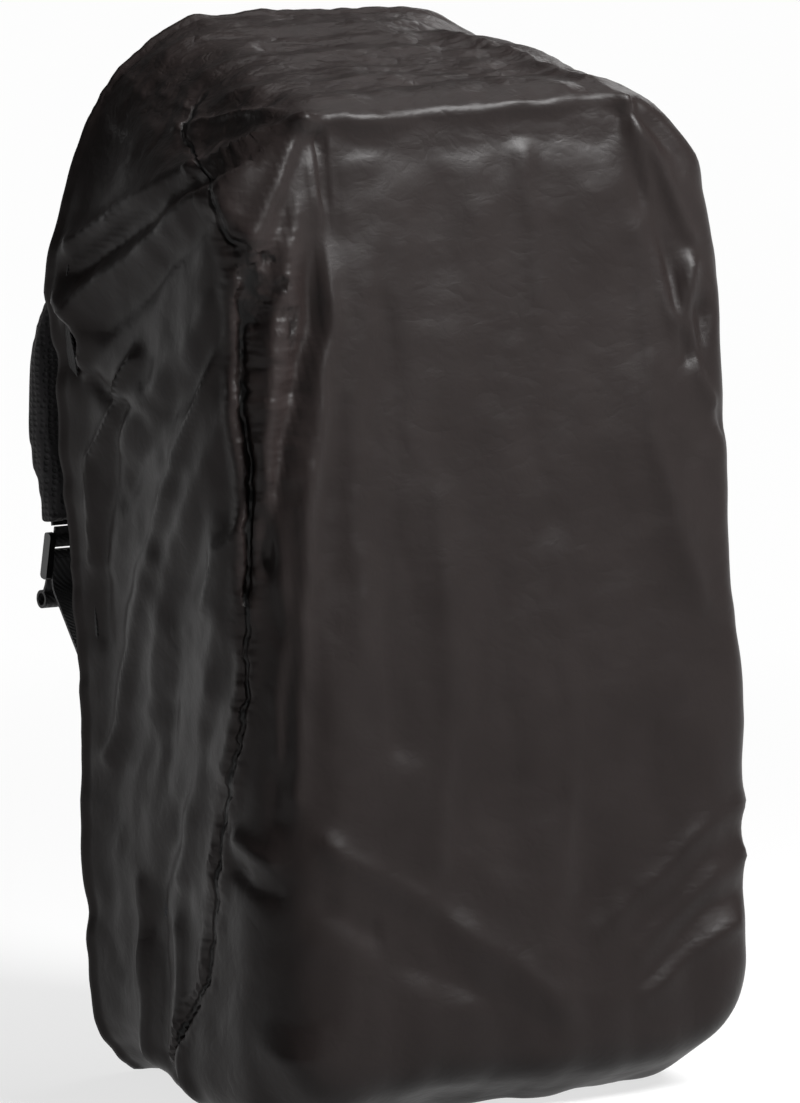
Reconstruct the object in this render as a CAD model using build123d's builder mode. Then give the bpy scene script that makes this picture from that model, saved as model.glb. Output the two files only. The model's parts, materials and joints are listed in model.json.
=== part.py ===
"""Travel backpack standing upright in its fitted rain cover.

Millimetres, +Z up. The front, which the cover hides, faces -Y and the wearer's side faces +Y.
The origin is the middle of the base, on the floor that the bag stands on.
"""

from build123d import *

import os
from collections import namedtuple
from math import atan, cos, radians, sin, tan

# ---------------------------------------------------------------- driving dimensions
# Envelope of the loaded bag, which the cover's outer face follows.
base_half_width = 146.0
shoulder_half_width = 160.0
lid_half_width = 82.0
bag_height = 564.0
shoulder_drop = 58.0  # from the top down to the shoulder corner
back_y = 97.0  # plane of the pack's back face
seam_y = -10.0  # plane of the seam between the cover's gusset and its front panel
seam_lid_half = 100.0
lid_fall = 24.0  # how much lower the lid is at the seam than at the back
toe_y = -58.0  # at the floor, of the leaning section in front of which the underside rises
toe_lean = 4.6  # degrees that this section leans back
front_y = -111.0  # foremost face of the cover, at the floor
front_lean = 7.0  # degrees that the front leans back
front_top_half = 104.0
front_lift = 20.0  # how high the underside is where the rounding of the front edge starts
edge_depth = 14.0  # how far behind the front its edge rounding starts
edge_side = 22.0  # how far in from each side it ends
edge_above = 8.0  # how far below the top it ends
edge_below = 38.0  # how far above its start it ends at the bottom
base_radius = 45.0
shoulder_radius = 45.0
lid_radius = 34.0

# Cover
cover_wall = 1.6
hem_width = 12.0
hem_swell = 2.4  # how far the hem stands out of the gusset
elastic_width = 7.6
elastic_thickness = 1.2
elastic_room = 0.2
elastic_lowest = 60.0

# Clearances
slip = 0.3  # between neighbours that touch on the real bag
side_room = 9.0  # between the main compartment and the cover, for the side pockets
lid_room = 1.2
pin_play = 0.1

# Pack
boot_height = 52.0
boot_wall = 2.2
lid_seam_drop = 112.0
lid_seam_z = bag_height - lid_seam_drop
zip_width = 5.0
zip_recess = 3.0
zip_coil = 1.4
nose_y = -24.0  # foremost face of the main compartment
nose_depth = 12.0  # of the rounding of its front edge
nose_inset = 9.0
pocket_depth = 38.0  # where the face starts to slant back
pocket_lean = 4.0  # degrees that the face below leans back
pocket_top_depth = 20.0
pocket_bottom_margin = 12.0
pocket_bottom_half = base_half_width - pocket_bottom_margin
pocket_top_half = lid_half_width
pocket_bottom_z = 22.0
pocket_top_drop = 82.0
pocket_top_z = bag_height - pocket_top_drop
pocket_slant_z = 330.0  # above this the face leans back more
pocket_foot_radius = 16.0
pocket_brow_radius = 32.0
pocket_top_radius = 8.0
pocket_side_taper = 14.0
pocket_radius = 30.0
pocket_zip_margin = 26.0
pocket_zip_low = 110.0
zip_leg_x = 62.0
tape_width = 16.0
tape_thickness = 1.0
coil_width = 4.5
coil_thickness = 1.2
slider_rest_z = 250.0  # up the pocket's face from the floor
slider_length = 13.0
slider_body_width = 9.0
slider_body_depth = 3.0
slider_side_angle = 80.0
slider_eye_radius = 3.0
slider_eye_bore = 1.4
slider_eye_rise = 1.2  # of the eye's middle out of the slider's face
slider_eye_width = 2.4
pull_length = 30.0
pull_head = 1.0  # how far the pull's prongs reach past its pin
pull_width = 7.0
pull_thickness = 1.4
pull_pin_play = 0.3
pull_fork_width = 3.2  # room between the prongs
pull_fork_height = 9.0
pull_pin_length = 3.6
side_pocket_height = 215.0
side_pocket_thickness = 7.0
side_pocket_width = 104.0
side_pocket_gap = 2.0
compression_width = 20.0
compression_overhang = 10.0  # past each edge of the side pocket
webbing_thickness = 1.6
compression_drops = (272.0, 176.0)  # below the top of the bag
compression_heights = [bag_height - drop for drop in compression_drops]

# Heights at the back, measured up the wearer's back from the shoulder line
shoulder_line_drop = 92.0
shoulder_line = bag_height - shoulder_line_drop

# Back panel and frame
sheet_thickness = 1.5
stay_width = 12.0
stay_thickness = 3.0
stay_low_z = 70.0
stay_high_drop = 22.0
stay_high_z = shoulder_line - stay_high_drop
stay_x = 60.0
board_thickness = 5.0
board_inset = 12.0
pad_thickness = 12.0
pad_inner_x = 15.0
pad_outer_x = 91.0
pad_low_z = 174.0
pad_high_drop = 38.0
pad_high_z = shoulder_line - pad_high_drop
pad_radius = 22.0
lumbar_half_width = 95.0
lumbar_low_z = 62.0
lumbar_high_z = 162.0
channel_width = 6.0
channel_depth = 4.0

# Shoulder harness
yoke_half_width = 98.0
yoke_low_drop = 28.0
yoke_low_z = shoulder_line - yoke_low_drop
yoke_high_rise = 18.0
yoke_high_z = shoulder_line + yoke_high_rise
yoke_thickness = 2.4
yoke_radius = 10.0
yoke_bevel = 0.8
strap_half_widths = (27.0, 29.0, 19.0)  # at the root, where it hangs and at the lock
strap_thickness = 13.0
root_z = shoulder_line
crest_rise = 22.0
crest = (141.0, shoulder_line + crest_rise)  # y and z of the strap's bend over the top
hang_y = 172.0  # centre of the strap where it hangs upright
hang_high_drop = 46.0
hang_high_z = shoulder_line - hang_high_drop
hang_low_drop = 128.0
hang_low_z = shoulder_line - hang_low_drop
strap_end_drop = 179.0
strap_end = (162.0, shoulder_line - strap_end_drop)
strap_bends = [17.0, 40.0, 60.0]
root_x = 64.0
hang_x = 116.0
lock_x = 122.0
plan_root_drop = 4.0  # the strap's middle line, seen from behind, turns at these heights
plan_root_z = shoulder_line - plan_root_drop
plan_hang_drop = 70.0
plan_hang_z = shoulder_line - plan_hang_drop
plan_bend_drop = 138.0
plan_bend_z = shoulder_line - plan_bend_drop
plan_lock_drop = 176.0
plan_lock_z = shoulder_line - plan_lock_drop
plan_bends = [60.0, 70.0, 90.0, 60.0]
face_webbing_half = 10.0
webbing_width = 25.0
tab_start = 1.2  # of the webbing tab, past the end of the padded strap
lock_lean = 12.0  # degrees that the ladder lock leans away from the bag
bar_radius = 1.9
lock_first_bar = 9.0
lock_bar_spacing = 8.5
lock_end_margin = 4.5
lock_play = 0.4
lock_side_width = 3.6
lock_side_thickness = 6.4
webbing_exit = 3.0  # straight run of the lower webbing past the lock
webbing_bends = [12.0, 60.0]
lower_bend_drop = 286.0
lower_bend_z = shoulder_line - lower_bend_drop
anchor_low_z = 44.0
anchor_high_z = 72.0
anchor_thickness = 2.0
anchor_margin = 2.0
anchor_radius = 4.0
anchor_hold = 2.0  # how far above the anchor's lower edge the webbing ends
wrap_tightness = 0.94  # share of the wrap's radius that its corners are rounded to
tail_exit = 4.0
tail_length = 14.0
tail_kick = 3.0
tail_bend = 20.0
tail_loop_radius = 5.0

# Sternum strap
rail_x = 96.0
rail_width = 6.0
rail_thickness = 3.0
rail_low_drop = 122.0
rail_low_z = shoulder_line - rail_low_drop
rail_high_drop = 54.0
rail_high_z = shoulder_line - rail_high_drop
rail_standoff = 3.0
rail_foot = 5.0
rail_radius = 1.2
slider_height = 22.0
slider_width = 18.0
slider_wall = 1.8
slider_radius = 1.5
slider_bar_height = 26.0
sternum_z = (rail_low_z + rail_high_z) / 2
sternum_width = 20.0
slider_bar_x = 78.0
eye_bar = 2.4
eye_play = 0.2
eye_radius = 1.8
cheek_overlap = 0.5  # how far the cheeks of a bar reach into the body that carries it
socket_length = 30.0
socket_height = 27.0
socket_thickness = 9.0
socket_wall = 1.8
socket_radius = 4.0
window_near_x = 9.0
window_length = 13.0
bar_reach = 7.0
plug_length = 9.0
plug_radius = 2.5
tongue_length = 20.0
tongue_height = 4.0
arm_length = 23.0
arm_thickness = 3.0
arm_depth = 4.2
arm_head = 1.9
arm_head_play = 0.8
arm_head_angle = 72.0
arm_end_play = 2.0
arm_root_radius = 1.5

# Grab handle
handle_rise = 61.0
handle_z = shoulder_line + handle_rise
handle_half_width = 42.0
handle_drop = 28.0
handle_width = 16.0
handle_thickness = 2.4
handle_bend = 10.0
knuckle_radius = 3.0
sleeve_half_length = 28.0
sleeve_height = 18.0
sleeve_thickness = 9.0
patch_height = 14.0
patch_margin = 2.0
patch_radius = 2.0
patch_thickness = 1.6
saddle_depth = 3.6

# ---------------------------------------------------------------- cross-sections
Station = namedtuple("Station", "y lean bottom shoulder top")

shoulder_z = bag_height - shoulder_drop
back_station = Station(
    back_y, 0, (base_half_width, 0), (shoulder_half_width, shoulder_z), (lid_half_width, bag_height)
)
side_slope = (shoulder_half_width - base_half_width) / shoulder_z
lid_slope = shoulder_drop / (shoulder_half_width - lid_half_width)
lid_angle = atan(lid_slope)


def parallel_station(y, lean, bottom_z, top_half, top_z):
    """A section whose sides and shoulders run parallel with those of the back."""
    shoulder_height = (top_z - lid_slope * (base_half_width - top_half)) / (1 + lid_slope * side_slope)
    return Station(
        y,
        lean,
        (base_half_width + side_slope * bottom_z, bottom_z),
        (base_half_width + side_slope * shoulder_height, shoulder_height),
        (top_half, top_z),
    )


seam_top_z = bag_height - lid_fall
seam_station = parallel_station(seam_y, 0, 0, seam_lid_half, seam_top_z)
toe_station = parallel_station(toe_y, toe_lean, 0, seam_lid_half, seam_top_z / cos(radians(toe_lean)))
front_station = parallel_station(
    front_y, front_lean, front_lift, front_top_half, seam_top_z / cos(radians(front_lean))
)

written = {}


def keep(name, part):
    """Label a finished piece and remember it for export."""
    part.label = name
    written[name] = part


def outline(station, side=0.0, above=0.0, below=0.0):
    """Draw one six-cornered cross-section of the bag, drawn in by the given insets."""
    slant_inset = 0.5 * (side + above)
    bottom_x, bottom_z = station.bottom[0] - side, station.bottom[1] + below
    shoulder_x = station.shoulder[0] - side
    shoulder_height = station.shoulder[1] - (slant_inset - side * sin(lid_angle)) / cos(lid_angle)
    top_x = station.top[0] - (slant_inset - above * cos(lid_angle)) / sin(lid_angle)
    top_z = station.top[1] - above
    corners = [
        (-bottom_x, bottom_z),
        (bottom_x, bottom_z),
        (shoulder_x, shoulder_height),
        (top_x, top_z),
        (-top_x, top_z),
        (-shoulder_x, shoulder_height),
    ]
    radii = [
        max(radius - 0.5 * (side + above), 4.0)
        for radius in (base_radius, base_radius, shoulder_radius, lid_radius, lid_radius, shoulder_radius)
    ]
    lean = radians(station.lean)
    face_plane = Plane(origin=(0, station.y, 0), x_dir=(1, 0, 0), z_dir=(0, -cos(lean), sin(lean)))
    with BuildSketch(face_plane) as drawn:
        with BuildLine():
            FilletPolyline(*corners, radius=radii, close=True)
        make_face()
    return drawn.sketch


def hull(stations, side=0.0, above=0.0, below=0.0):
    """Loft a closed block through the given stations, drawn in by the given insets."""
    with BuildPart() as block:
        for station in stations:
            add(outline(station, side, above, below))
        loft(ruled=True)
    return block.part


def front_hull(wall, dip):
    """The block in front of the seam, with its front edge rounded, inside a wall of the given thickness."""
    with BuildPart() as block:
        add(outline(seam_station, wall, wall, wall - dip))
        add(outline(toe_station, wall, wall, wall - dip))
        for turn in (0, 45, 90):
            rise = 1 - cos(radians(turn))
            depth = (edge_depth - wall) * (1 - sin(radians(turn))) + wall
            section = front_station._replace(y=front_y + depth)
            add(outline(section, wall + edge_side * rise, wall + edge_above * rise, wall + edge_below * rise))
        loft(ruled=True)
    return block.part


def mirrored(part):
    """The same piece on the other side of the bag."""
    return mirror(part, about=Plane.YZ)


# ---------------------------------------------------------------- rain cover
floor_dip = 0.5  # the lofts reach this far below the flat faces that are cut on them


def above_plane(part, height):
    """The part of a block that lies above a level."""
    with BuildPart() as cut:
        add(part)
        split(bisect_by=Plane.XY.offset(height), keep=Keep.TOP)
    return cut.part


gusset_outer = above_plane(hull([back_station, seam_station], below=-floor_dip), 0)
gusset_inner = above_plane(
    hull([back_station, seam_station], cover_wall, cover_wall, cover_wall - floor_dip),
    cover_wall,
)
with BuildPart() as gusset:
    add(gusset_outer)
    add(gusset_inner, mode=Mode.SUBTRACT)

# The gusset is cut at the shoulders and above the base into four panels.
corner_x = 0.5 * (shoulder_half_width + lid_half_width)
corner_drop = 0.62 * shoulder_drop
corner_z = bag_height - corner_drop
foot_x = base_half_width - 0.4 * base_radius
foot_z = 0.4 * base_radius


def slant(x, z):
    """A plane along Y through a point, square to the diagonal of that corner."""
    toward = 1 if x > 0 else -1
    up = 1 if z > bag_height / 2 else -1
    return Plane(origin=(x, 0, z), x_dir=(0, 1, 0), z_dir=(-toward, 0, up))


with BuildPart() as gusset_top:
    add(gusset.part)
    split(bisect_by=slant(corner_x, corner_z), keep=Keep.TOP)
    split(bisect_by=slant(-corner_x, corner_z), keep=Keep.TOP)
keep("cover_gusset_top", gusset_top.part)

with BuildPart() as gusset_bottom:
    add(gusset.part)
    split(bisect_by=slant(foot_x, foot_z), keep=Keep.TOP)
    split(bisect_by=slant(-foot_x, foot_z), keep=Keep.TOP)
keep("cover_gusset_bottom", gusset_bottom.part)

with BuildPart() as gusset_right:
    add(gusset.part)
    split(bisect_by=slant(corner_x, corner_z), keep=Keep.BOTTOM)
    split(bisect_by=slant(foot_x, foot_z), keep=Keep.BOTTOM)
keep("cover_gusset_right", gusset_right.part)
keep("cover_gusset_left", mirrored(gusset_right.part))

front_outer = above_plane(front_hull(0, floor_dip), 0)
front_inner = above_plane(front_hull(cover_wall, floor_dip), cover_wall)
with BuildPart() as front_panel:
    add(front_outer)
    add(front_inner, mode=Mode.SUBTRACT)
keep("cover_front_panel", front_panel.part)


def band(grow, shrink, near_y, far_y):
    """A ring that follows the cover's rear outline, from `shrink` inside it to `grow` outside."""
    with BuildPart() as ring:
        extrude(outline(back_station._replace(y=far_y), -grow, -grow, -grow), amount=far_y - near_y)
        extrude(
            outline(back_station._replace(y=far_y), shrink, shrink, shrink),
            amount=far_y - near_y,
            mode=Mode.SUBTRACT,
        )
    return ring.part


hem_far_y = back_y + hem_width
tunnel_middle = 0.5 * (hem_swell - cover_wall)
tunnel_half = 0.5 * elastic_thickness + elastic_room
elastic_near_y = back_y + 0.5 * (hem_width - elastic_width)
elastic_far_y = elastic_near_y + elastic_width
tunnel = above_plane(
    band(
        tunnel_middle + tunnel_half,
        tunnel_half - tunnel_middle,
        elastic_near_y - elastic_room,
        elastic_far_y + elastic_room,
    ),
    elastic_lowest - elastic_room,
)
elastic = above_plane(
    band(
        tunnel_middle + tunnel_half - elastic_room,
        tunnel_half - elastic_room - tunnel_middle,
        elastic_near_y,
        elastic_far_y,
    ),
    elastic_lowest,
)
keep("hem_elastic", elastic)

with BuildPart() as hem:
    add(above_plane(band(hem_swell, cover_wall, back_y, hem_far_y), 0))
    add(tunnel, mode=Mode.SUBTRACT)
keep("cover_hem", hem.part)

# ---------------------------------------------------------------- pack
pack_side = cover_wall + side_room
pack_above = cover_wall + lid_room
pack_floor = cover_wall + slip
main_back = back_station._replace(y=back_y - sheet_thickness - 2 * slip)
main_front = seam_station._replace(y=nose_y + nose_depth)
main_nose = seam_station._replace(y=nose_y)


def pack_hull(side, above, below):
    """The main compartment's form, with its rounded front edge, drawn in by the given insets."""
    with BuildPart() as block:
        add(outline(main_back, side, above, below))
        add(outline(main_front, side, above, below))
        add(outline(main_nose, side + nose_inset, above + nose_inset, below))
        loft(ruled=True)
    return block.part


boot_form = pack_hull(pack_side, pack_above, pack_floor)
main_form = pack_hull(pack_side + boot_wall, pack_above, pack_floor + boot_wall)
with BuildPart() as boot:
    add(boot_form)
    split(bisect_by=Plane.XY.offset(boot_height), keep=Keep.BOTTOM)
    add(main_form, mode=Mode.SUBTRACT)
keep("base_boot", boot.part)

zip_low_z = lid_seam_z - zip_width / 2
zip_high_z = lid_seam_z + zip_width / 2
with BuildPart() as main_compartment:
    add(main_form)
    split(bisect_by=Plane.XY.offset(zip_low_z), keep=Keep.BOTTOM)
keep("main_compartment", main_compartment.part)
keep("top_lid", above_plane(main_form, zip_high_z))

zip_core = pack_hull(pack_side + boot_wall + zip_recess, pack_above, pack_floor + boot_wall)
zip_rim = pack_hull(pack_side + boot_wall + zip_recess - zip_coil, pack_above, pack_floor + boot_wall)
with BuildPart() as lid_zip:
    add(above_plane(zip_core, zip_low_z))
    split(bisect_by=Plane.XY.offset(zip_high_z), keep=Keep.BOTTOM)
with BuildPart() as lid_coil:
    add(above_plane(zip_rim, lid_seam_z - zip_coil / 2))
    split(bisect_by=Plane.XY.offset(lid_seam_z + zip_coil / 2), keep=Keep.BOTTOM)
with BuildPart() as lid_zip_whole:
    add(lid_zip.part)
    add(lid_coil.part)
keep("lid_zip", lid_zip_whole.part)

# Front pocket: a wedge that leans back and narrows upward, with an arched zip on its face.
pocket_tilt = radians(pocket_lean)
pocket_slant_y = nose_y - pocket_depth
pocket_foot_y = pocket_slant_y - (pocket_slant_z - pocket_bottom_z) * tan(pocket_tilt)
pocket_face = Plane(
    origin=(0, pocket_slant_y - pocket_slant_z * tan(pocket_tilt), 0),
    x_dir=(1, 0, 0),
    z_dir=(0, -cos(pocket_tilt), sin(pocket_tilt)),
)
with BuildPart() as front_pocket:
    with BuildSketch(Plane.YZ):
        with BuildLine():
            FilletPolyline(
                (nose_y, pocket_bottom_z),
                (pocket_foot_y, pocket_bottom_z),
                (pocket_slant_y, pocket_slant_z),
                (nose_y - pocket_top_depth, pocket_top_z),
                (nose_y, pocket_top_z),
                radius=[pocket_foot_radius, pocket_brow_radius, pocket_top_radius],
            )
            Line((nose_y, pocket_top_z), (nose_y, pocket_bottom_z))
        make_face()
    extrude(amount=pocket_bottom_half, both=True)
    with BuildSketch(Plane.XZ.offset(-nose_y)):
        with BuildLine():
            FilletPolyline(
                (-pocket_bottom_half, pocket_bottom_z),
                (pocket_bottom_half, pocket_bottom_z),
                (pocket_top_half, pocket_top_z),
                (-pocket_top_half, pocket_top_z),
                radius=pocket_radius,
                close=True,
            )
        make_face()
    extrude(amount=nose_y - pocket_foot_y, taper=pocket_side_taper, mode=Mode.INTERSECT)
keep("front_pocket", front_pocket.part)


def zip_arch(width, thickness):
    """An inverted U on the pocket's face, `width` wide and `thickness` proud."""
    foot = (zip_leg_x, pocket_zip_low)
    head = (zip_leg_x, pocket_slant_z - pocket_zip_margin)
    path = [(-foot[0], foot[1]), (-head[0], head[1]), head, foot]
    with BuildPart() as arch:
        with BuildSketch(pocket_face):
            with BuildLine():
                FilletPolyline(*path, radius=pocket_radius)
            trace(line_width=width)
        extrude(amount=thickness)
    return arch.part


with BuildPart() as pocket_zip:
    add(zip_arch(tape_width, tape_thickness))
    add(zip_arch(coil_width, tape_thickness + coil_thickness))
keep("front_pocket_zip", pocket_zip.part)

slider_base = pocket_face.offset(tape_thickness + coil_thickness + slip)
slider_eye_out = slider_body_depth + slider_eye_rise
eye_view = Plane(
    origin=slider_base.from_local_coords((zip_leg_x, slider_rest_z, slider_eye_out)),
    x_dir=pocket_face.z_dir,
    z_dir=(1, 0, 0),
)
with BuildPart() as zip_slider:
    with BuildSketch(slider_base):
        with Locations((zip_leg_x, slider_rest_z)):
            Trapezoid(slider_body_width, slider_length, slider_side_angle)
    extrude(amount=slider_body_depth)
    with BuildSketch(eye_view):
        Circle(slider_eye_radius)
        Circle(slider_eye_bore, mode=Mode.SUBTRACT)
    extrude(amount=slider_eye_width / 2, both=True)
keep("zip_slider_right", zip_slider.part)
keep("zip_slider_left", mirrored(zip_slider.part))

with BuildPart() as zip_pull:
    with BuildSketch(slider_base.offset(slider_eye_out - pull_thickness / 2)):
        with Locations((zip_leg_x, slider_rest_z + pull_head - pull_length / 2)):
            SlotCenterToCenter(pull_length - pull_width, pull_width, rotation=90)
        with Locations((zip_leg_x, slider_rest_z)):
            Rectangle(pull_fork_width, pull_fork_height, mode=Mode.SUBTRACT)
    extrude(amount=pull_thickness)
    with BuildSketch(eye_view):
        Circle(slider_eye_bore - pull_pin_play)
    extrude(amount=pull_pin_length / 2, both=True)
keep("zip_pull_right", zip_pull.part)
keep("zip_pull_left", mirrored(zip_pull.part))

# Side pockets and compression straps, in the room between the pack's side and the cover.
side_form = pack_hull(pack_side + boot_wall - slip, pack_above, pack_floor + boot_wall)
side_middle_y = 0.5 * (main_back.y + main_front.y)


def side_slab(low_z, high_z, width, thickness):
    """A slab on the right-hand side of the pack, following the side's slope."""
    skin = pack_hull(pack_side + boot_wall - slip - thickness, pack_above, pack_floor + boot_wall)
    with BuildPart() as slab:
        with BuildSketch(Plane.YZ.offset(base_half_width / 2)):
            with Locations((side_middle_y, 0.5 * (low_z + high_z))):
                RectangleRounded(width, high_z - low_z, min(width, high_z - low_z) / 5)
        extrude(amount=base_half_width)
        add(skin, mode=Mode.INTERSECT)
        add(side_form, mode=Mode.SUBTRACT)
    return slab.part


side_pocket = side_slab(
    boot_height + side_pocket_gap, boot_height + side_pocket_height, side_pocket_width, side_pocket_thickness
)
keep("side_pocket_right", side_pocket)
keep("side_pocket_left", mirrored(side_pocket))

with BuildPart() as compression_straps:
    for height in compression_heights:
        add(
            side_slab(
                height + side_pocket_gap,
                height + side_pocket_gap + compression_width,
                side_pocket_width + 2 * compression_overhang,
                webbing_thickness,
            )
        )
keep("compression_straps_right", compression_straps.part)
keep("compression_straps_left", mirrored(compression_straps.part))

# ---------------------------------------------------------------- back panel
with BuildPart() as frame_sheet:
    extrude(
        outline(back_station._replace(y=back_y - slip), board_inset, board_inset, board_inset),
        amount=sheet_thickness,
    )
keep("frame_sheet", frame_sheet.part)

board_face_y = back_y + board_thickness
with BuildPart() as back_board:
    extrude(
        outline(back_station._replace(y=board_face_y), board_inset, board_inset, board_inset),
        amount=board_thickness,
    )
    with BuildSketch(Plane.XZ.offset(-back_y - stay_thickness - 2 * slip)):
        with Locations((-stay_x, 0.5 * (stay_low_z + stay_high_z)), (stay_x, 0.5 * (stay_low_z + stay_high_z))):
            Rectangle(stay_width + 2 * slip, stay_high_z - stay_low_z + 2 * slip)
    extrude(amount=stay_thickness + 2 * slip, mode=Mode.SUBTRACT)
keep("back_board", back_board.part)

with BuildPart() as frame_stay:
    with BuildSketch(Plane.XZ.offset(-back_y - stay_thickness - slip)):
        with Locations((stay_x, 0.5 * (stay_low_z + stay_high_z))):
            RectangleRounded(stay_width, stay_high_z - stay_low_z, stay_width / 3)
    extrude(amount=stay_thickness)
keep("frame_stay_right", frame_stay.part)
keep("frame_stay_left", mirrored(frame_stay.part))


def back_cushion(near_x, far_x, low_z, high_z, channels):
    """A foam pad on the back board with rounded edges and sewn-in channels across it."""
    middle = (0.5 * (near_x + far_x), 0.5 * (low_z + high_z))
    with BuildPart() as cushion:
        with BuildSketch(Plane.XZ.offset(-board_face_y - slip - pad_thickness)):
            with Locations(middle):
                RectangleRounded(far_x - near_x, high_z - low_z, pad_radius)
        extrude(amount=pad_thickness)
        chamfer(cushion.faces().sort_by(Axis.Y)[-1].edges(), length=pad_thickness / 3)
        with BuildSketch(Plane.XZ.offset(-board_face_y - slip - pad_thickness)):
            with Locations(*[(middle[0], height) for height in channels]):
                Rectangle(far_x - near_x, channel_width)
        extrude(amount=channel_depth, mode=Mode.SUBTRACT)
    return cushion.part


pad_channels = [pad_low_z + (pad_high_z - pad_low_z) * share for share in (0.25, 0.5, 0.75)]
back_pad = back_cushion(pad_inner_x, pad_outer_x, pad_low_z, pad_high_z, pad_channels)
keep("back_pad_right", back_pad)
keep("back_pad_left", mirrored(back_pad))
keep(
    "lumbar_pad",
    back_cushion(
        -lumbar_half_width,
        lumbar_half_width,
        lumbar_low_z,
        lumbar_high_z,
        [0.5 * (lumbar_low_z + lumbar_high_z)],
    ),
)

# ---------------------------------------------------------------- shoulder harness
yoke_face_y = board_face_y + slip + yoke_thickness
with BuildPart() as yoke:
    with BuildSketch(Plane.XZ.offset(-yoke_face_y)):
        with Locations((0, 0.5 * (yoke_low_z + yoke_high_z))):
            RectangleRounded(2 * yoke_half_width, yoke_high_z - yoke_low_z, yoke_radius)
    extrude(amount=yoke_thickness)
    chamfer(yoke.faces().sort_by(Axis.Y)[-1].edges(), length=yoke_bevel)
keep("harness_yoke", yoke.part)

root_y = yoke_face_y + slip + strap_thickness / 2
strap_course = [(root_y, root_z), crest, (hang_y, hang_high_z), (hang_y, hang_low_z), strap_end]


def strap_band(thickness, across):
    """The strap's side view, `thickness` thick, spread across the strap's whole width."""
    with BuildPart() as swept:
        with BuildSketch(Plane.YZ):
            with BuildLine():
                FilletPolyline(*strap_course, radius=strap_bends)
            trace(line_width=thickness)
            with Locations(strap_course[0]):
                Circle(thickness / 2)
        extrude(amount=across)
    return swept.part


def strap_plan(root_half, hang_half, end_half):
    """The strap's rear view: a gentle S from the yoke out to the ladder lock, tapering as it goes."""
    middle = [
        (root_x, crest[1] + strap_thickness, root_half),
        (root_x, plan_root_z, root_half),
        (hang_x, plan_hang_z, hang_half),
        (hang_x, plan_bend_z, hang_half),
        (lock_x, plan_lock_z, end_half),
        (lock_x, strap_end[1] - strap_thickness, end_half),
    ]
    right = [(x + half, z) for x, z, half in middle]
    left = [(x - half, z) for x, z, half in reversed(middle)]
    with BuildPart() as plan:
        with BuildSketch(Plane.XZ.offset(-hang_y - strap_thickness)):
            with BuildLine():
                FilletPolyline(*right, radius=plan_bends)
                FilletPolyline(*left, radius=plan_bends[::-1])
                Line(right[-1], left[0])
                Line(left[-1], right[0])
            make_face()
        extrude(amount=hang_y)
    return plan.part


with BuildPart() as shoulder_strap:
    add(strap_band(strap_thickness, 2 * lock_x))
    add(strap_plan(*strap_half_widths), mode=Mode.INTERSECT)
keep("shoulder_strap_right", shoulder_strap.part)
keep("shoulder_strap_left", mirrored(shoulder_strap.part))

# A webbing runs down the middle of each strap's outer face.
with BuildPart() as face_webbing:
    add(strap_band(strap_thickness + 2 * slip + 2 * webbing_thickness, 2 * lock_x))
    add(strap_band(strap_thickness + 2 * slip, 2 * lock_x), mode=Mode.SUBTRACT)
    with BuildSketch(Plane.YZ):
        with BuildLine():
            Polyline(*strap_course, (0, strap_end[1] - 20), (0, bag_height), (crest[0], bag_height), close=True)
        make_face()
    extrude(amount=2 * lock_x, mode=Mode.SUBTRACT)
    add(strap_plan(face_webbing_half, face_webbing_half, face_webbing_half), mode=Mode.INTERSECT)
    split(bisect_by=Plane.XY.offset(rail_low_z - rail_foot), keep=Keep.BOTTOM)
keep("strap_webbing_right", face_webbing.part)
keep("strap_webbing_left", mirrored(face_webbing.part))

# Ladder lock, drawn in its own side view: x runs down along the lock, y away from the bag.
lock_down = (0, sin(radians(lock_lean)), -cos(radians(lock_lean)))
lock_view = Plane(origin=(lock_x, *strap_end), x_dir=lock_down, z_dir=(1, 0, 0))
bars = [lock_first_bar + lock_bar_spacing * step for step in range(3)]
lock_near = bars[0] - lock_end_margin
lock_far = bars[2] + lock_end_margin
lock_inner_half = webbing_width / 2 + lock_play
lock_outer_half = lock_inner_half + lock_side_width
wrap_radius = bar_radius + pin_play + webbing_thickness / 2

with BuildPart() as ladder_lock:
    with BuildSketch(lock_view):
        with Locations((0.5 * (lock_near + lock_far), 0)):
            RectangleRounded(lock_far - lock_near, lock_side_thickness, lock_side_thickness / 3)
    extrude(amount=lock_outer_half, both=True)
    with BuildSketch(lock_view):
        Rectangle(4 * lock_far, 2 * lock_side_thickness)
    extrude(amount=lock_inner_half, both=True, mode=Mode.SUBTRACT)
    with BuildSketch(lock_view):
        with Locations(*[(bar, 0) for bar in bars]):
            Circle(bar_radius)
    extrude(amount=lock_inner_half, both=True)
keep("ladder_lock_right", ladder_lock.part)
keep("ladder_lock_left", mirrored(ladder_lock.part))

with BuildPart() as strap_tab:
    with BuildSketch(lock_view):
        with Locations((0.5 * (tab_start + bars[0]), 0)):
            Rectangle(bars[0] - tab_start, webbing_thickness)
        with Locations((bars[0], 0)):
            Circle(wrap_radius + webbing_thickness / 2)
            Circle(wrap_radius - webbing_thickness / 2, mode=Mode.SUBTRACT)
    extrude(amount=webbing_width / 2, both=True)
keep("strap_tab_right", strap_tab.part)
keep("strap_tab_left", mirrored(strap_tab.part))

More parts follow.
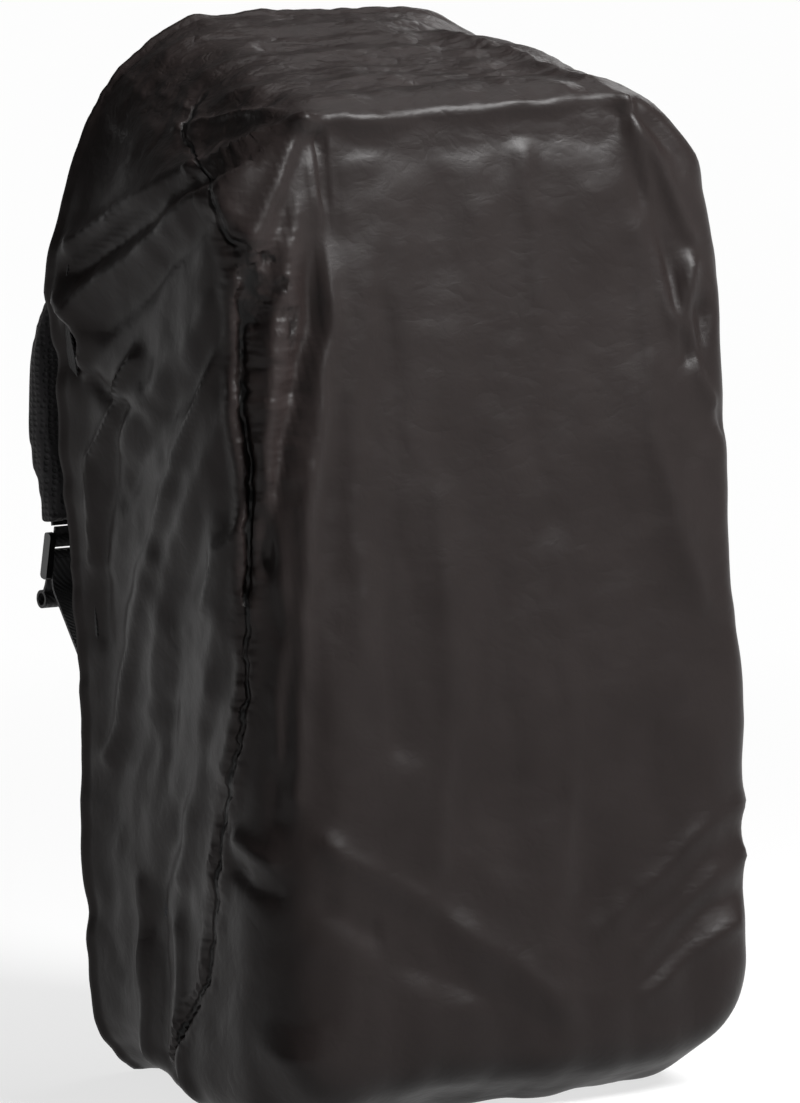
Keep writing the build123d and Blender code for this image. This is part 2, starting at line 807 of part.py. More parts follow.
# The webbing runs up behind the lower bar, over the middle bar and down in front as the tail.
webbing_rest_y = board_face_y + slip + anchor_thickness + slip + webbing_thickness / 2
webbing_top = lock_view.from_local_coords((bars[1] + slip, -wrap_radius, 0))
webbing_foot = lock_view.from_local_coords((lock_far + webbing_exit, -wrap_radius, 0))
with BuildPart() as lower_webbing:
    with BuildSketch(Plane.YZ.offset(lock_x)):
        with BuildLine():
            FilletPolyline(
                (webbing_top.Y, webbing_top.Z),
                (webbing_foot.Y, webbing_foot.Z),
                (webbing_rest_y, lower_bend_z),
                (webbing_rest_y, anchor_low_z + anchor_hold),
                radius=webbing_bends,
            )
        trace(line_width=webbing_thickness)
    extrude(amount=webbing_width / 2, both=True)
keep("lower_webbing_right", lower_webbing.part)
keep("lower_webbing_left", mirrored(lower_webbing.part))

tail_end = lock_far + tail_length
wrap_corner = wrap_tightness * wrap_radius
with BuildPart() as webbing_tail:
    with BuildSketch(lock_view):
        with BuildLine():
            FilletPolyline(
                (bars[1], -wrap_radius),
                (bars[1] - wrap_radius, -wrap_radius),
                (bars[1] - wrap_radius, wrap_radius),
                (lock_far + tail_exit, wrap_radius),
                (tail_end, wrap_radius + tail_kick),
                radius=[wrap_corner, wrap_corner, tail_bend],
            )
        trace(line_width=webbing_thickness)
        with Locations((tail_end, wrap_radius + tail_kick)):
            Circle(tail_loop_radius)
            Circle(tail_loop_radius - webbing_thickness, mode=Mode.SUBTRACT)
    extrude(amount=webbing_width / 2, both=True)
keep("webbing_tail_right", webbing_tail.part)
keep("webbing_tail_left", mirrored(webbing_tail.part))

with BuildPart() as lower_anchor:
    with BuildSketch(Plane.XZ.offset(-board_face_y - slip - anchor_thickness)):
        with Locations((lock_x, 0.5 * (anchor_low_z + anchor_high_z))):
            RectangleRounded(webbing_width + 2 * anchor_margin, anchor_high_z - anchor_low_z, anchor_radius)
    extrude(amount=anchor_thickness)
keep("lower_anchor_right", lower_anchor.part)
keep("lower_anchor_left", mirrored(lower_anchor.part))

# ---------------------------------------------------------------- sternum strap
rail_near_y = hang_y + strap_thickness / 2 + slip
rail_face_y = rail_near_y + rail_standoff
sternum_y = rail_face_y + rail_thickness / 2
with BuildPart() as rail:
    with BuildSketch(Plane.YZ.offset(rail_x - rail_width / 2)):
        with Locations((0.5 * (rail_near_y + rail_face_y + rail_thickness), sternum_z)):
            RectangleRounded(rail_standoff + rail_thickness, rail_high_z - rail_low_z, rail_radius)
        with Locations((rail_near_y, sternum_z)):
            Rectangle(2 * rail_standoff, rail_high_z - rail_low_z - 2 * rail_foot, mode=Mode.SUBTRACT)
    extrude(amount=rail_width)
keep("sternum_rail_right", rail.part)
keep("sternum_rail_left", mirrored(rail.part))


def bar_end(bar_x, body_x, height):
    """Two cheeks and a bar for a webbing eye; the bar's outer face is at `bar_x`."""
    toward = 1 if body_x > bar_x else -1
    middle_x = 0.5 * (bar_x + body_x)
    with BuildPart() as end:
        with BuildSketch(Plane.XZ.offset(-sternum_y - eye_bar / 2)):
            with Locations((middle_x, sternum_z)):
                Rectangle(abs(body_x - bar_x), height)
            with Locations((middle_x + toward * eye_bar / 2, sternum_z)):
                Rectangle(abs(body_x - bar_x) - eye_bar, sternum_width + 2 * slip, mode=Mode.SUBTRACT)
        extrude(amount=eye_bar)
    return end.part


def eye_strip(bar_x, far_bar_x):
    """Webbing between two bars, with an eye round each of them."""
    toward = 1 if far_bar_x > bar_x else -1
    hole = eye_bar + 2 * eye_play
    eyes = [(bar_x - toward * eye_bar / 2, sternum_y), (far_bar_x + toward * eye_bar / 2, sternum_y)]
    with BuildPart() as strip:
        with BuildSketch(Plane.XY.offset(sternum_z - sternum_width / 2)):
            with Locations((0.5 * (bar_x + far_bar_x), sternum_y)):
                Rectangle(abs(far_bar_x - bar_x), webbing_thickness)
            with Locations(*eyes):
                RectangleRounded(hole + 2 * webbing_thickness, hole + 2 * webbing_thickness, eye_radius)
            with Locations(*eyes):
                Rectangle(hole, hole, mode=Mode.SUBTRACT)
        extrude(amount=sternum_width)
    return strip.part


with BuildPart() as sternum_slider:
    with BuildSketch(Plane.XY.offset(sternum_z - slider_height / 2)):
        with Locations((rail_x, sternum_y)):
            RectangleRounded(slider_width, rail_thickness + 2 * slip + 2 * slider_wall, slider_radius)
            Rectangle(rail_width + 2 * slip, rail_thickness + 2 * slip, mode=Mode.SUBTRACT)
    extrude(amount=slider_height)
    add(bar_end(slider_bar_x, rail_x - slider_width / 2 + cheek_overlap, slider_bar_height))
keep("sternum_slider_right", sternum_slider.part)
keep("sternum_slider_left", mirrored(sternum_slider.part))

# Side-release buckle: the socket is on the right, the plug with its two arms on the left.
socket_half = socket_height / 2
cavity_half = socket_half - socket_wall
with BuildPart() as socket:
    with BuildSketch(Plane.XZ.offset(-sternum_y - socket_thickness / 2)):
        with Locations((socket_length / 2, sternum_z)):
            RectangleRounded(socket_length, socket_height, socket_radius)
    extrude(amount=socket_thickness)
    with BuildSketch(Plane.YZ):
        with Locations((sternum_y, sternum_z)):
            Rectangle(socket_thickness - 2 * socket_wall, 2 * cavity_half)
    extrude(amount=arm_length + arm_end_play, mode=Mode.SUBTRACT)
    with BuildSketch(Plane.XZ.offset(-sternum_y - arm_depth / 2 - slip)):
        with Locations((window_near_x + window_length / 2, sternum_z)):
            Rectangle(window_length, 2 * socket_height)
    extrude(amount=arm_depth + 2 * slip, mode=Mode.SUBTRACT)
    add(bar_end(socket_length + bar_reach, socket_length - cheek_overlap, socket_height))
keep("sternum_socket", socket.part)

plug_root_x = -arm_root_radius - 2 * slip
with BuildPart() as plug:
    with BuildSketch(Plane.XZ.offset(-sternum_y - socket_thickness / 2)):
        with Locations((plug_root_x - plug_length / 2, sternum_z)):
            RectangleRounded(plug_length, socket_height, plug_radius)
    extrude(amount=socket_thickness)
    with BuildSketch(Plane.XZ.offset(-sternum_y - arm_depth / 2)):
        with Locations((plug_root_x + tongue_length / 2, sternum_z)):
            Rectangle(tongue_length + 2 * cheek_overlap, tongue_height)
    extrude(amount=arm_depth)
    add(bar_end(plug_root_x - plug_length - bar_reach, plug_root_x - plug_length + cheek_overlap, socket_height))
keep("sternum_plug", plug.part)

arm_axis_z = cavity_half - slip - arm_thickness / 2
with BuildPart() as arm:
    with BuildSketch(Plane.XZ.offset(-sternum_y - arm_depth / 2)):
        with Locations((0, sternum_z + arm_axis_z)):
            Circle(arm_root_radius)
        with Locations((arm_length / 2, sternum_z + arm_axis_z)):
            Rectangle(arm_length, arm_thickness)
        with Locations((window_near_x + window_length / 2, sternum_z + arm_axis_z + arm_thickness / 2)):
            Trapezoid(window_length - 2 * arm_head_play, 2 * arm_head, arm_head_angle)
    extrude(amount=arm_depth)
keep("buckle_arm_upper", arm.part)
keep("buckle_arm_lower", mirror(arm.part, about=Plane.XY.offset(sternum_z)))

keep("sternum_webbing_right", eye_strip(socket_length + bar_reach, slider_bar_x))
keep("sternum_webbing_left", eye_strip(plug_root_x - plug_length - bar_reach, -slider_bar_x))

# ---------------------------------------------------------------- grab handle
handle_y = board_face_y + 2 * slip + sleeve_thickness / 2
grip_z = handle_z - handle_drop
with BuildPart() as handle:
    with BuildSketch(Plane.XZ.offset(-handle_y - handle_thickness / 2)):
        with BuildLine():
            FilletPolyline(
                (-handle_half_width, handle_z),
                (-handle_half_width, grip_z),
                (handle_half_width, grip_z),
                (handle_half_width, handle_z),
                radius=handle_bend,
            )
        trace(line_width=handle_width)
    extrude(amount=handle_thickness)
    with BuildSketch(Plane.YZ):
        with Locations((handle_y, handle_z)):
            Circle(knuckle_radius)
    extrude(amount=handle_half_width + handle_width / 2, both=True)
    with BuildSketch(Plane.YZ):
        with Locations((handle_y, handle_z)):
            Circle(2 * knuckle_radius)
    extrude(amount=handle_half_width - handle_width / 2, both=True, mode=Mode.SUBTRACT)
keep("grab_handle", handle.part)

with BuildPart() as sleeve:
    with BuildSketch(Plane.YZ):
        with Locations((handle_y, grip_z)):
            RectangleRounded(sleeve_thickness, sleeve_height, sleeve_thickness / 2 - 0.2)
            Rectangle(
                handle_thickness + 2 * pin_play, handle_width + 2 * pin_play, mode=Mode.SUBTRACT
            )
    extrude(amount=sleeve_half_length, both=True)
keep("handle_sleeve", sleeve.part)

saddle_radius = knuckle_radius + slip + patch_thickness
with BuildPart() as handle_anchor:
    with BuildSketch(Plane.XZ.offset(-board_face_y - slip - patch_thickness)):
        with Locations((handle_half_width, handle_z)):
            RectangleRounded(handle_width + 2 * patch_margin, patch_height, patch_radius)
    extrude(amount=patch_thickness)
    with BuildSketch(Plane.YZ.offset(handle_half_width - handle_width / 2)):
        with Locations((handle_y, handle_z)):
            Circle(saddle_radius)
        with Locations((board_face_y + slip + saddle_depth / 2, handle_z)):
            Rectangle(saddle_depth, 2 * saddle_radius, mode=Mode.INTERSECT)
        with Locations((handle_y, handle_z)):
            Circle(knuckle_radius + slip, mode=Mode.SUBTRACT)
    extrude(amount=handle_width)
keep("handle_anchor_right", handle_anchor.part)
keep("handle_anchor_left", mirrored(handle_anchor.part))

os.makedirs("parts", exist_ok=True)
for name, part in written.items():
    export_step(part, f"parts/{name}.step")
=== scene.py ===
"""Looks of a travel backpack that stands upright in its fitted rain cover.

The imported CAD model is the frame. Everything is in metres in that frame: +Z up, the cover's front
towards -Y, the wearer's side towards +Y. Lengths in the tables of folds and swells, and in the
cover's own fields, are millimetres.
"""

import json
import logging
import math
from dataclasses import dataclass
from enum import Enum
from typing import Any, Dict, Iterable, List, Optional, Sequence, Tuple

import bmesh
import bpy
import numpy as np
from mathutils import Matrix, Vector, noise
from mathutils.bvhtree import BVHTree
from mathutils.kdtree import KDTree

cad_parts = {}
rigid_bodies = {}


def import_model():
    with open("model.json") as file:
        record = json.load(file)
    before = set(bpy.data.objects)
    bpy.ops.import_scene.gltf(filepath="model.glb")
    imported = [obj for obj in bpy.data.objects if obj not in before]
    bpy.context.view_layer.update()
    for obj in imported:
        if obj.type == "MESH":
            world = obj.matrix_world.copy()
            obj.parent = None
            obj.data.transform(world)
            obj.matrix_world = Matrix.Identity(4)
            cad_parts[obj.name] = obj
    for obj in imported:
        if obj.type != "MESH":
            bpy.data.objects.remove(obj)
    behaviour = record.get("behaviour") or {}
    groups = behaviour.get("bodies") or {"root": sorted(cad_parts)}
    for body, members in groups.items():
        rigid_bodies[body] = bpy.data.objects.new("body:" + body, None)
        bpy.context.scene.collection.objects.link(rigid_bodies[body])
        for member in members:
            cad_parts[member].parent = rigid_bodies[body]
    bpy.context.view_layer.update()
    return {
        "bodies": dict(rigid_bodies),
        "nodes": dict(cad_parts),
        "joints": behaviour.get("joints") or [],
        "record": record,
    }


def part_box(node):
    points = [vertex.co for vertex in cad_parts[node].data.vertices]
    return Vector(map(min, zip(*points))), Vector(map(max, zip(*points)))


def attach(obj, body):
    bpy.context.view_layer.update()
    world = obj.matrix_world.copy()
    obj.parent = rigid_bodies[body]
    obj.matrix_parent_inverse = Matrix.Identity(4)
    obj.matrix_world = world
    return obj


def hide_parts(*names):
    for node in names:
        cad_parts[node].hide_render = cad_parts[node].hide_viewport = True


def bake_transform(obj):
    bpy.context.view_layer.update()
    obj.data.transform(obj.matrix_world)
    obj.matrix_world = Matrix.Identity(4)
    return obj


log = logging.getLogger("rain_cover_bag")
MM = 0.001
Point = Tuple[float, float, float]
Point2 = Tuple[float, float]


# ---------------------------------------------------------------- colour and nodes
def linear(code: str) -> Tuple[float, float, float, float]:
    """Turns an sRGB hex colour into the linear colour that shaders take.

    Args:
        code: six hex digits, with or without a leading hash.

    Returns:
        Red, green, blue and an alpha of 1.
    """
    digits = code.lstrip("#")
    channels = [int(digits[i : i + 2], 16) / 255 for i in (0, 2, 4)]
    made = [c / 12.92 if c <= 0.04045 else ((c + 0.055) / 1.055) ** 2.4 for c in channels]
    return made[0], made[1], made[2], 1.0


def add_node(
    tree: bpy.types.NodeTree,
    kind: str,
    settings: Optional[Dict[str, Any]] = None,
    inputs: Optional[Dict[Any, Any]] = None,
) -> bpy.types.Node:
    """Adds one shader node, sets it up and links it.

    Args:
        tree: the material's or world's node tree.
        kind: the node's type name.
        settings: properties of the node itself.
        inputs: values or output sockets for its input sockets, by name or number.

    Returns:
        The new node.
    """
    made = tree.nodes.new(kind)
    for name, value in (settings or {}).items():
        setattr(made, name, value)
    for name, value in (inputs or {}).items():
        socket = made.inputs[name]
        if isinstance(value, bpy.types.NodeSocket):
            tree.links.new(value, socket)
        else:
            socket.default_value = value
    return made


def calc(tree: bpy.types.NodeTree, operation: str, *values: Any) -> bpy.types.NodeSocket:
    """Adds a Math node.

    Args:
        tree: the material's or world's node tree.
        operation: what the node does.
        values: numbers or output sockets, in the order of its inputs.

    Returns:
        The socket of its result.
    """
    return add_node(tree, "ShaderNodeMath", {"operation": operation}, dict(enumerate(values))).outputs[0]


def ranged(
    tree: bpy.types.NodeTree,
    value: bpy.types.NodeSocket,
    reach: Tuple[float, float],
    low: Any = 0.0,
    high: Any = 1.0,
    smooth: bool = False,
) -> bpy.types.NodeSocket:
    """Adds a Map Range node.

    Args:
        tree: the material's or world's node tree.
        value: what it reads.
        reach: where the change starts and ends.
        low: the result at the start.
        high: the result at the end.
        smooth: whether the change starts and ends gently.

    Returns:
        The socket of its result.
    """
    settings = {"interpolation_type": "SMOOTHSTEP"} if smooth else {}
    inputs = {0: value, 1: reach[0], 2: reach[1], 3: low, 4: high}
    return add_node(tree, "ShaderNodeMapRange", settings, inputs).outputs[0]


def uneven(
    tree: bpy.types.NodeTree,
    place: bpy.types.NodeSocket,
    size_mm: float,
    detail: float = 2.0,
    roughness: float = 0.5,
    output: str = "Fac",
) -> bpy.types.NodeSocket:
    """Adds smooth noise.

    Args:
        tree: the material's node tree.
        place: the coordinates to read.
        size_mm: the size of its swells.
        detail: how many finer layers it has.
        roughness: how strong the finer layers are.
        output: which of its outputs to give.

    Returns:
        The socket of that output.
    """
    inputs = {"Vector": place, "Scale": 1 / (size_mm * MM), "Detail": detail, "Roughness": roughness}
    return add_node(tree, "ShaderNodeTexNoise", inputs=inputs).outputs[output]


def blended(
    tree: bpy.types.NodeTree, share: Any, first: Any, second: Any, kind: str = "MIX"
) -> bpy.types.NodeSocket:
    """Adds a mix of two colours.

    Args:
        tree: the material's node tree.
        share: how much of the second one there is.
        first: a colour or an output socket.
        second: a colour or an output socket.
        kind: the way that they mix.

    Returns:
        The socket of the mixed colour.
    """
    settings = {"data_type": "RGBA", "blend_type": kind}
    return add_node(tree, "ShaderNodeMix", settings, {0: share, 6: first, 7: second}).outputs[2]


def stretched(tree: bpy.types.NodeTree, place: bpy.types.NodeSocket, scale: Point) -> bpy.types.NodeSocket:
    """Adds coordinates that are scaled along each axis, and returns their socket."""
    return add_node(tree, "ShaderNodeMapping", inputs={"Vector": place, "Scale": scale}).outputs[0]


class Pattern(Enum):
    """How a surface was made, which decides the relief that it shows."""

    CRINKLE = "thin cloth that has been packed away and keeps its creases"
    WEAVE = "plain weave of thick yarn"
    RIBS = "woven band with ribs across it"
    MESH = "knitted spacer mesh with open cells"
    GRAIN = "moulded or cast surface with a fine even grain"
    BRUSHED = "drawn or rolled bar with fine lines along it"


@dataclass(frozen=True)
class SeamLook:
    """How the cover's seam shows in its material: lengths in millimetres, depths in shares of the relief."""

    gap: str = "seam_gap"  # attribute: how far a point lies behind the seam
    share: str = "seam_share"  # attribute: 1 where the cloth has a seam at all
    sway: float = 7.0
    sway_size: float = 14.0
    groove: Tuple[float, float] = (0.5, 3.0)
    groove_depth: float = 2.0
    reach: Tuple[float, float] = (1.0, 16.0)
    tuck: float = 7.0
    tuck_stretch: Point = (0.35, 0.35, 1.0)
    tuck_depth: float = 2.2
    tuck_range: Tuple[float, float] = (0.36, 0.55)
    # Dark stitching thread and painted shade in the seam's groove: its least share between the tucks, and
    # its colour.
    least_groove_shade: float = 0.25
    painted_highlight_and_shade: str = "#060505"


@dataclass(frozen=True)
class CrinkleLook:
    """Where the cover's creases show: sharply on the top behind its front edge, faintly elsewhere."""

    sway_size: float = 2.5  # of the creases' bends, in facets
    sway_share: float = 0.012
    roughness: float = 0.45
    steepness: float = 4.0
    stretch: Point = (0.6, 1.0, 0.85)
    fine_size: float = 0.35
    fine_share: float = 0.3
    top_heights: Tuple[float, float] = (0.485, 0.53)
    top_depths: Tuple[float, float] = (-0.05, -0.03)
    top_share: float = 0.6
    least_share: float = 0.15


CELL_RANGE = (0.22, 0.5)  # from a mesh cell's middle, in cells: where its thread starts to rise and ends
CELL_RANDOMNESS = 0.25
BRUSH_STRETCH: Point = (1.0, 1.0, 0.03)
THREAD_SWAY = 0.4  # how far threads leave the straight line


@dataclass(frozen=True)
class Finish:
    """One material: what it is, how it was made and how it meets the light."""

    title: str
    colour: str
    # Lighter colour painted where the relief is high: a painted highlight on the raised threads, grains,
    # ribs and facets, with the base colour as painted shade in the low parts.
    painted_highlight_and_shade: str
    roughness: float
    pattern: Pattern
    pitch_mm: float
    relief_mm: float
    metallic: float = 0.0
    ior: float = 1.5
    sheen: float = 0.0
    mottle_mm: float = 70.0
    mottle_share: float = 0.35
    mottle_range: Tuple[float, float] = (0.3, 0.7)
    roughness_spread: float = 0.05

    def material(self) -> bpy.types.Material:
        """Builds the node material, once.

        Returns:
            The material, which every piece of this finish shares.
        """
        found = bpy.data.materials.get(self.title)
        if found:
            return found
        made = bpy.data.materials.new(self.title)
        made.use_nodes = True
        tree = made.node_tree
        tree.nodes.clear()
        place = add_node(tree, "ShaderNodeTexCoord").outputs["Object"]
        height = self._relief(tree, place)
        seam_groove_shade = None
        if self.pattern is Pattern.CRINKLE:
            height, seam_groove_shade = self._seam(tree, place, height)
        mottle = uneven(tree, place, self.mottle_mm, 3.0, 0.6)
        grey = add_node(tree, "ShaderNodeCombineColor", inputs={0: mottle, 1: mottle, 2: mottle}).outputs[0]
        # Painted highlight and shade: the colour turns lighter where the relief is high and stays at the
        # darker base colour in its low parts.
        colour = blended(tree, height, linear(self.colour), linear(self.painted_highlight_and_shade))
        colour = blended(tree, self.mottle_share, colour, grey, "MULTIPLY")
        # Painted shade and dark stitching thread along the seam's groove.
        if seam_groove_shade is not None:
            colour = blended(tree, seam_groove_shade, colour, linear(SeamLook().painted_highlight_and_shade))
        spread = self.roughness_spread
        rough = ranged(tree, mottle, self.mottle_range, self.roughness - spread, self.roughness + spread)
        bump = add_node(
            tree,
            "ShaderNodeBump",
            inputs={"Strength": 1.0, "Distance": self.relief_mm * MM, "Height": height},
        ).outputs[0]
        shader = add_node(
            tree,
            "ShaderNodeBsdfPrincipled",
            inputs={"Base Color": colour, "Roughness": rough, "Metallic": self.metallic, "Normal": bump},
        )
        shader.inputs["IOR"].default_value = self.ior
        if self.sheen:
            shader.inputs["Sheen Weight"].default_value = self.sheen
            shader.inputs["Sheen Roughness"].default_value = 0.45
            shader.inputs["Sheen Tint"].default_value = linear("#b8b0ae")
        add_node(tree, "ShaderNodeOutputMaterial", inputs={"Surface": shader.outputs[0]})
        return made

    def _bands(
        self, tree: bpy.types.NodeTree, place: bpy.types.NodeSocket, direction: str
    ) -> bpy.types.NodeSocket:
        """Adds parallel threads at this finish's pitch.

        Args:
            tree: the material's node tree.
            place: the coordinates to read.
            direction: X, Y, Z or DIAGONAL, the way that the bands follow each other.

        Returns:
            A height from 0 to 1.
        """
        scale = 2 * math.pi / (20 * self.pitch_mm * MM)  # this texture has 20 / 2 pi bands in one unit
        return add_node(
            tree,
            "ShaderNodeTexWave",
            {"wave_type": "BANDS", "bands_direction": direction},
            {"Vector": place, "Scale": scale, "Distortion": THREAD_SWAY, "Detail": 1.0},
        ).outputs["Fac"]

    def _folded(
        self, tree: bpy.types.NodeTree, place: bpy.types.NodeSocket, size_mm: float
    ) -> bpy.types.NodeSocket:
        """Adds sharp creases between flat facets.

        Args:
            tree: the material's node tree.
            place: the coordinates to read.
            size_mm: the size of the facets.

        Returns:
            A height from 0 to 1.
        """
        look = CrinkleLook()
        sway = uneven(tree, place, look.sway_size * size_mm, 1.0, output="Color")
        moved = add_node(
            tree, "ShaderNodeMix", {"data_type": "VECTOR"}, {0: look.sway_share, 4: place, 5: sway}
        ).outputs[1]
        facets = uneven(tree, moved, size_mm, 2.0, look.roughness)
        apart = calc(tree, "ABSOLUTE", calc(tree, "SUBTRACT", facets, 0.5))
        return calc(tree, "MULTIPLY", apart, look.steepness)

    def _seam(
        self, tree: bpy.types.NodeTree, place: bpy.types.NodeSocket, height: bpy.types.NodeSocket
    ) -> Tuple[bpy.types.NodeSocket, bpy.types.NodeSocket]:
        """Adds the stitched groove and its puckers, from the piece's own distance to the seam, with painted
        shade in the groove.

        Args:
            tree: the material's node tree.
            place: the coordinates to read.
            height: the relief of the cloth without the seam.

        Returns:
            The relief with the seam, and the share of painted shade and dark stitching thread in the groove,
            from 0 to 1.
        """
        look = SeamLook()
        gap = add_node(tree, "ShaderNodeAttribute", {"attribute_name": look.gap}).outputs["Fac"]
        share = add_node(tree, "ShaderNodeAttribute", {"attribute_name": look.share}).outputs["Fac"]
        sway = uneven(tree, place, look.sway_size)
        swayed = calc(tree, "MULTIPLY_ADD", sway, look.sway, gap)
        away = calc(tree, "ABSOLUTE", calc(tree, "SUBTRACT", swayed, look.sway / 2))
        groove = ranged(tree, away, look.groove, share, 0.0, smooth=True)
        near = ranged(tree, away, look.reach, share, 0.0, smooth=True)
        tucks = uneven(tree, stretched(tree, place, look.tuck_stretch), look.tuck, 1.0)
        # Painted shade in the groove, together with the dark stitching thread: strongest where the puckers
        # stand tallest.
        painted_highlight_and_shade = calc(tree, "MULTIPLY", groove, ranged(tree, tucks, look.tuck_range, look.least_groove_shade))
        puckers = calc(tree, "MULTIPLY", near, tucks)
        raised = calc(tree, "MULTIPLY_ADD", puckers, look.tuck_depth, height)
        return calc(tree, "MULTIPLY_ADD", groove, -look.groove_depth, raised), painted_highlight_and_shade

    def _crinkle(self, tree: bpy.types.NodeTree, place: bpy.types.NodeSocket) -> bpy.types.NodeSocket:
        """Adds the creases of packed cloth.

        Args:
            tree: the material's node tree.
            place: the coordinates to read.

        Returns:
            A height from 0 to 1.
        """
        look = CrinkleLook()
        drawn = stretched(tree, place, look.stretch)
        large = self._folded(tree, drawn, self.pitch_mm)
        small = self._folded(tree, drawn, self.pitch_mm * look.fine_size)
        both = calc(tree, "MULTIPLY_ADD", small, look.fine_share, large)
        axes = add_node(tree, "ShaderNodeSeparateXYZ", inputs={0: place})
        high = ranged(tree, axes.outputs[2], look.top_heights)
        rear = ranged(tree, axes.outputs[1], look.top_depths, 0.0, look.top_share)
        return calc(tree, "MULTIPLY", both, calc(tree, "MULTIPLY_ADD", high, rear, look.least_share))

    def _relief(self, tree: bpy.types.NodeTree, place: bpy.types.NodeSocket) -> bpy.types.NodeSocket:
        """Adds this finish's pattern.

        Args:
            tree: the material's node tree.
            place: the coordinates to read.

        Returns:
            A height from 0 to 1.
        """
        if self.pattern is Pattern.CRINKLE:
            return self._crinkle(tree, place)
        if self.pattern is Pattern.MESH:
            cells = add_node(
                tree,
                "ShaderNodeTexVoronoi",
                {"feature": "F1"},
                {"Vector": place, "Scale": 1 / (self.pitch_mm * MM), "Randomness": CELL_RANDOMNESS},
            ).outputs["Distance"]
            return ranged(tree, cells, CELL_RANGE)
        if self.pattern is Pattern.WEAVE:
            warp, weft = self._bands(tree, place, "DIAGONAL"), self._bands(tree, place, "Z")
            return calc(tree, "MULTIPLY", warp, weft)
        if self.pattern is Pattern.RIBS:
            return self._bands(tree, place, "DIAGONAL")
        if self.pattern is Pattern.BRUSHED:
            return uneven(tree, stretched(tree, place, BRUSH_STRETCH), self.pitch_mm)
        return uneven(tree, place, self.pitch_mm)


# Polyurethane-coated nylon taffeta: its threads are too fine to see, and what shows is a satin surface with
# the flat facets and fine creases of cloth that is stuffed into a pouch.
# Its second colour is painted on that relief: painted highlight on the facets and painted shade along the
# creases.
COVER_CLOTH = Finish("coated_nylon_taffeta", "#241e1d", "#2c2524", 0.42, Pattern.CRINKLE, 14, 1.0, ior=1.27)
# Textured nylon of thick yarn: matt, with a plain weave, drawn at 1.6 mm so that it shows.
PACK_CLOTH = Finish("woven_heavy_nylon", "#26262a", "#34343a", 0.72, Pattern.WEAVE, 1.6, 0.25, sheen=0.1)
# Coated fabric: a rubbery film on canvas, with a soft grain.
BOOT_CLOTH = Finish("coated_boot_fabric", "#1c1d20", "#2a2b2f", 0.5, Pattern.GRAIN, 1.8, 0.2)
# Woven nylon webbing: ribs across the band, with a dull shine on each one.
WEBBING = Finish("woven_nylon_webbing", "#161617", "#2c2c2e", 0.58, Pattern.RIBS, 1.7, 0.3, sheen=0.1)
# Knitted spacer mesh: open cells with a dark ground below, whose base colour also paints the shade inside
# the cells, and lighter threads as painted highlight.
AIR_MESH = Finish("knitted_spacer_mesh", "#0f0f10", "#2c2a2c", 0.78, Pattern.MESH, 3.4, 0.6, sheen=0.15)
# Fabric bonded to foam: close knit, very matt.
BOARD_CLOTH = Finish("bonded_foam_fabric", "#1e1e20", "#2b2b2e", 0.8, Pattern.WEAVE, 2.2, 0.2, sheen=0.15)
# Moulded acetal: smooth, hard and slightly waxy.
ACETAL = Finish("moulded_acetal", "#141415", "#1c1c1d", 0.34, Pattern.GRAIN, 1.2, 0.03, ior=1.48)
# Woven elastic: fine ribs that open as it stretches.
ELASTIC = Finish("woven_elastic", "#1a1919", "#2b2a2a", 0.66, Pattern.RIBS, 1.2, 0.25)
# Nylon coil and polyester tape, with a thin film over them.
ZIP_TAPE = Finish("coated_zip_tape", "#121213", "#242426", 0.5, Pattern.WEAVE, 1.3, 0.3)
# Zinc die casting under black lacquer: glossy where fingers polish it.
ZIP_METAL = Finish("lacquered_die_casting", "#1b1b1c", "#262628", 0.3, Pattern.GRAIN, 0.9, 0.03)
# Pressed sheet of high-density polyethylene: dull, with a leathery grain.
SHEET_PLASTIC = Finish(
    "pressed_polyethylene", "#2c2c2d", "#363638", 0.55, Pattern.GRAIN, 1.0, 0.05, ior=1.52
)
# Drawn aluminium bar: bright lines along its length.
STAY_METAL = Finish("drawn_aluminium", "#b9babd", "#d0d1d4", 0.38, Pattern.BRUSHED, 0.5, 0.02, metallic=1.0)
# Thermoplastic rubber sleeve: very matt, with a fine moulded texture.
SLEEVE = Finish("moulded_soft_rubber", "#191919", "#232323", 0.75, Pattern.GRAIN, 1.0, 0.12, ior=1.45)

FINISH_OF_SLOT: Dict[str, Finish] = {
    "cover_nylon": COVER_CLOTH,
    "elastic": ELASTIC,
    "pack_nylon": PACK_CLOTH,
    "coated_boot": BOOT_CLOTH,
    "zip_tape": ZIP_TAPE,
    "zip_metal": ZIP_METAL,
    "webbing": WEBBING,
    "frame_plastic": SHEET_PLASTIC,
    "stay_aluminium": STAY_METAL,
    "board_foam": BOARD_CLOTH,
    "air_mesh": AIR_MESH,
    "acetal": ACETAL,
    "sleeve_rubber": SLEEVE,
}


# ---------------------------------------------------------------- mesh helpers
MOST_SPLITS = 6
SAME_FACE_ANGLE = 2.0  # in degrees
JOIN_DISTANCE = 0.05  # in millimetres, below which two CAD vertices are one
ALIGNED = 0.99  # least cosine between two directions that count as one


def linked(name: str, data: bpy.types.ID) -> bpy.types.Object:
    """Makes an object and adds it to the scene.

    Args:
        name: the object's name.
        data: the mesh, lamp or camera that it shows.

    Returns:
        The new object, at the origin.
    """
    made = bpy.data.objects.new(name, data)
    bpy.context.scene.collection.objects.link(made)
    return made


def to_object(bm: bmesh.types.BMesh, name: str, finish: Finish, smooth: bool = True) -> bpy.types.Object:
    """Turns a bmesh into a linked object with one material.

    Args:
        bm: the mesh, which is freed.
        name: the piece's name.
        finish: what it is made of.
        smooth: whether its faces are shaded smooth.

    Returns:
        The new object, at the origin.
    """
    mesh = bpy.data.meshes.new(name)
    for face in bm.faces:
        face.smooth = smooth
    bm.to_mesh(mesh)
    bm.free()
    mesh.materials.append(finish.material())
    return linked(name, mesh)


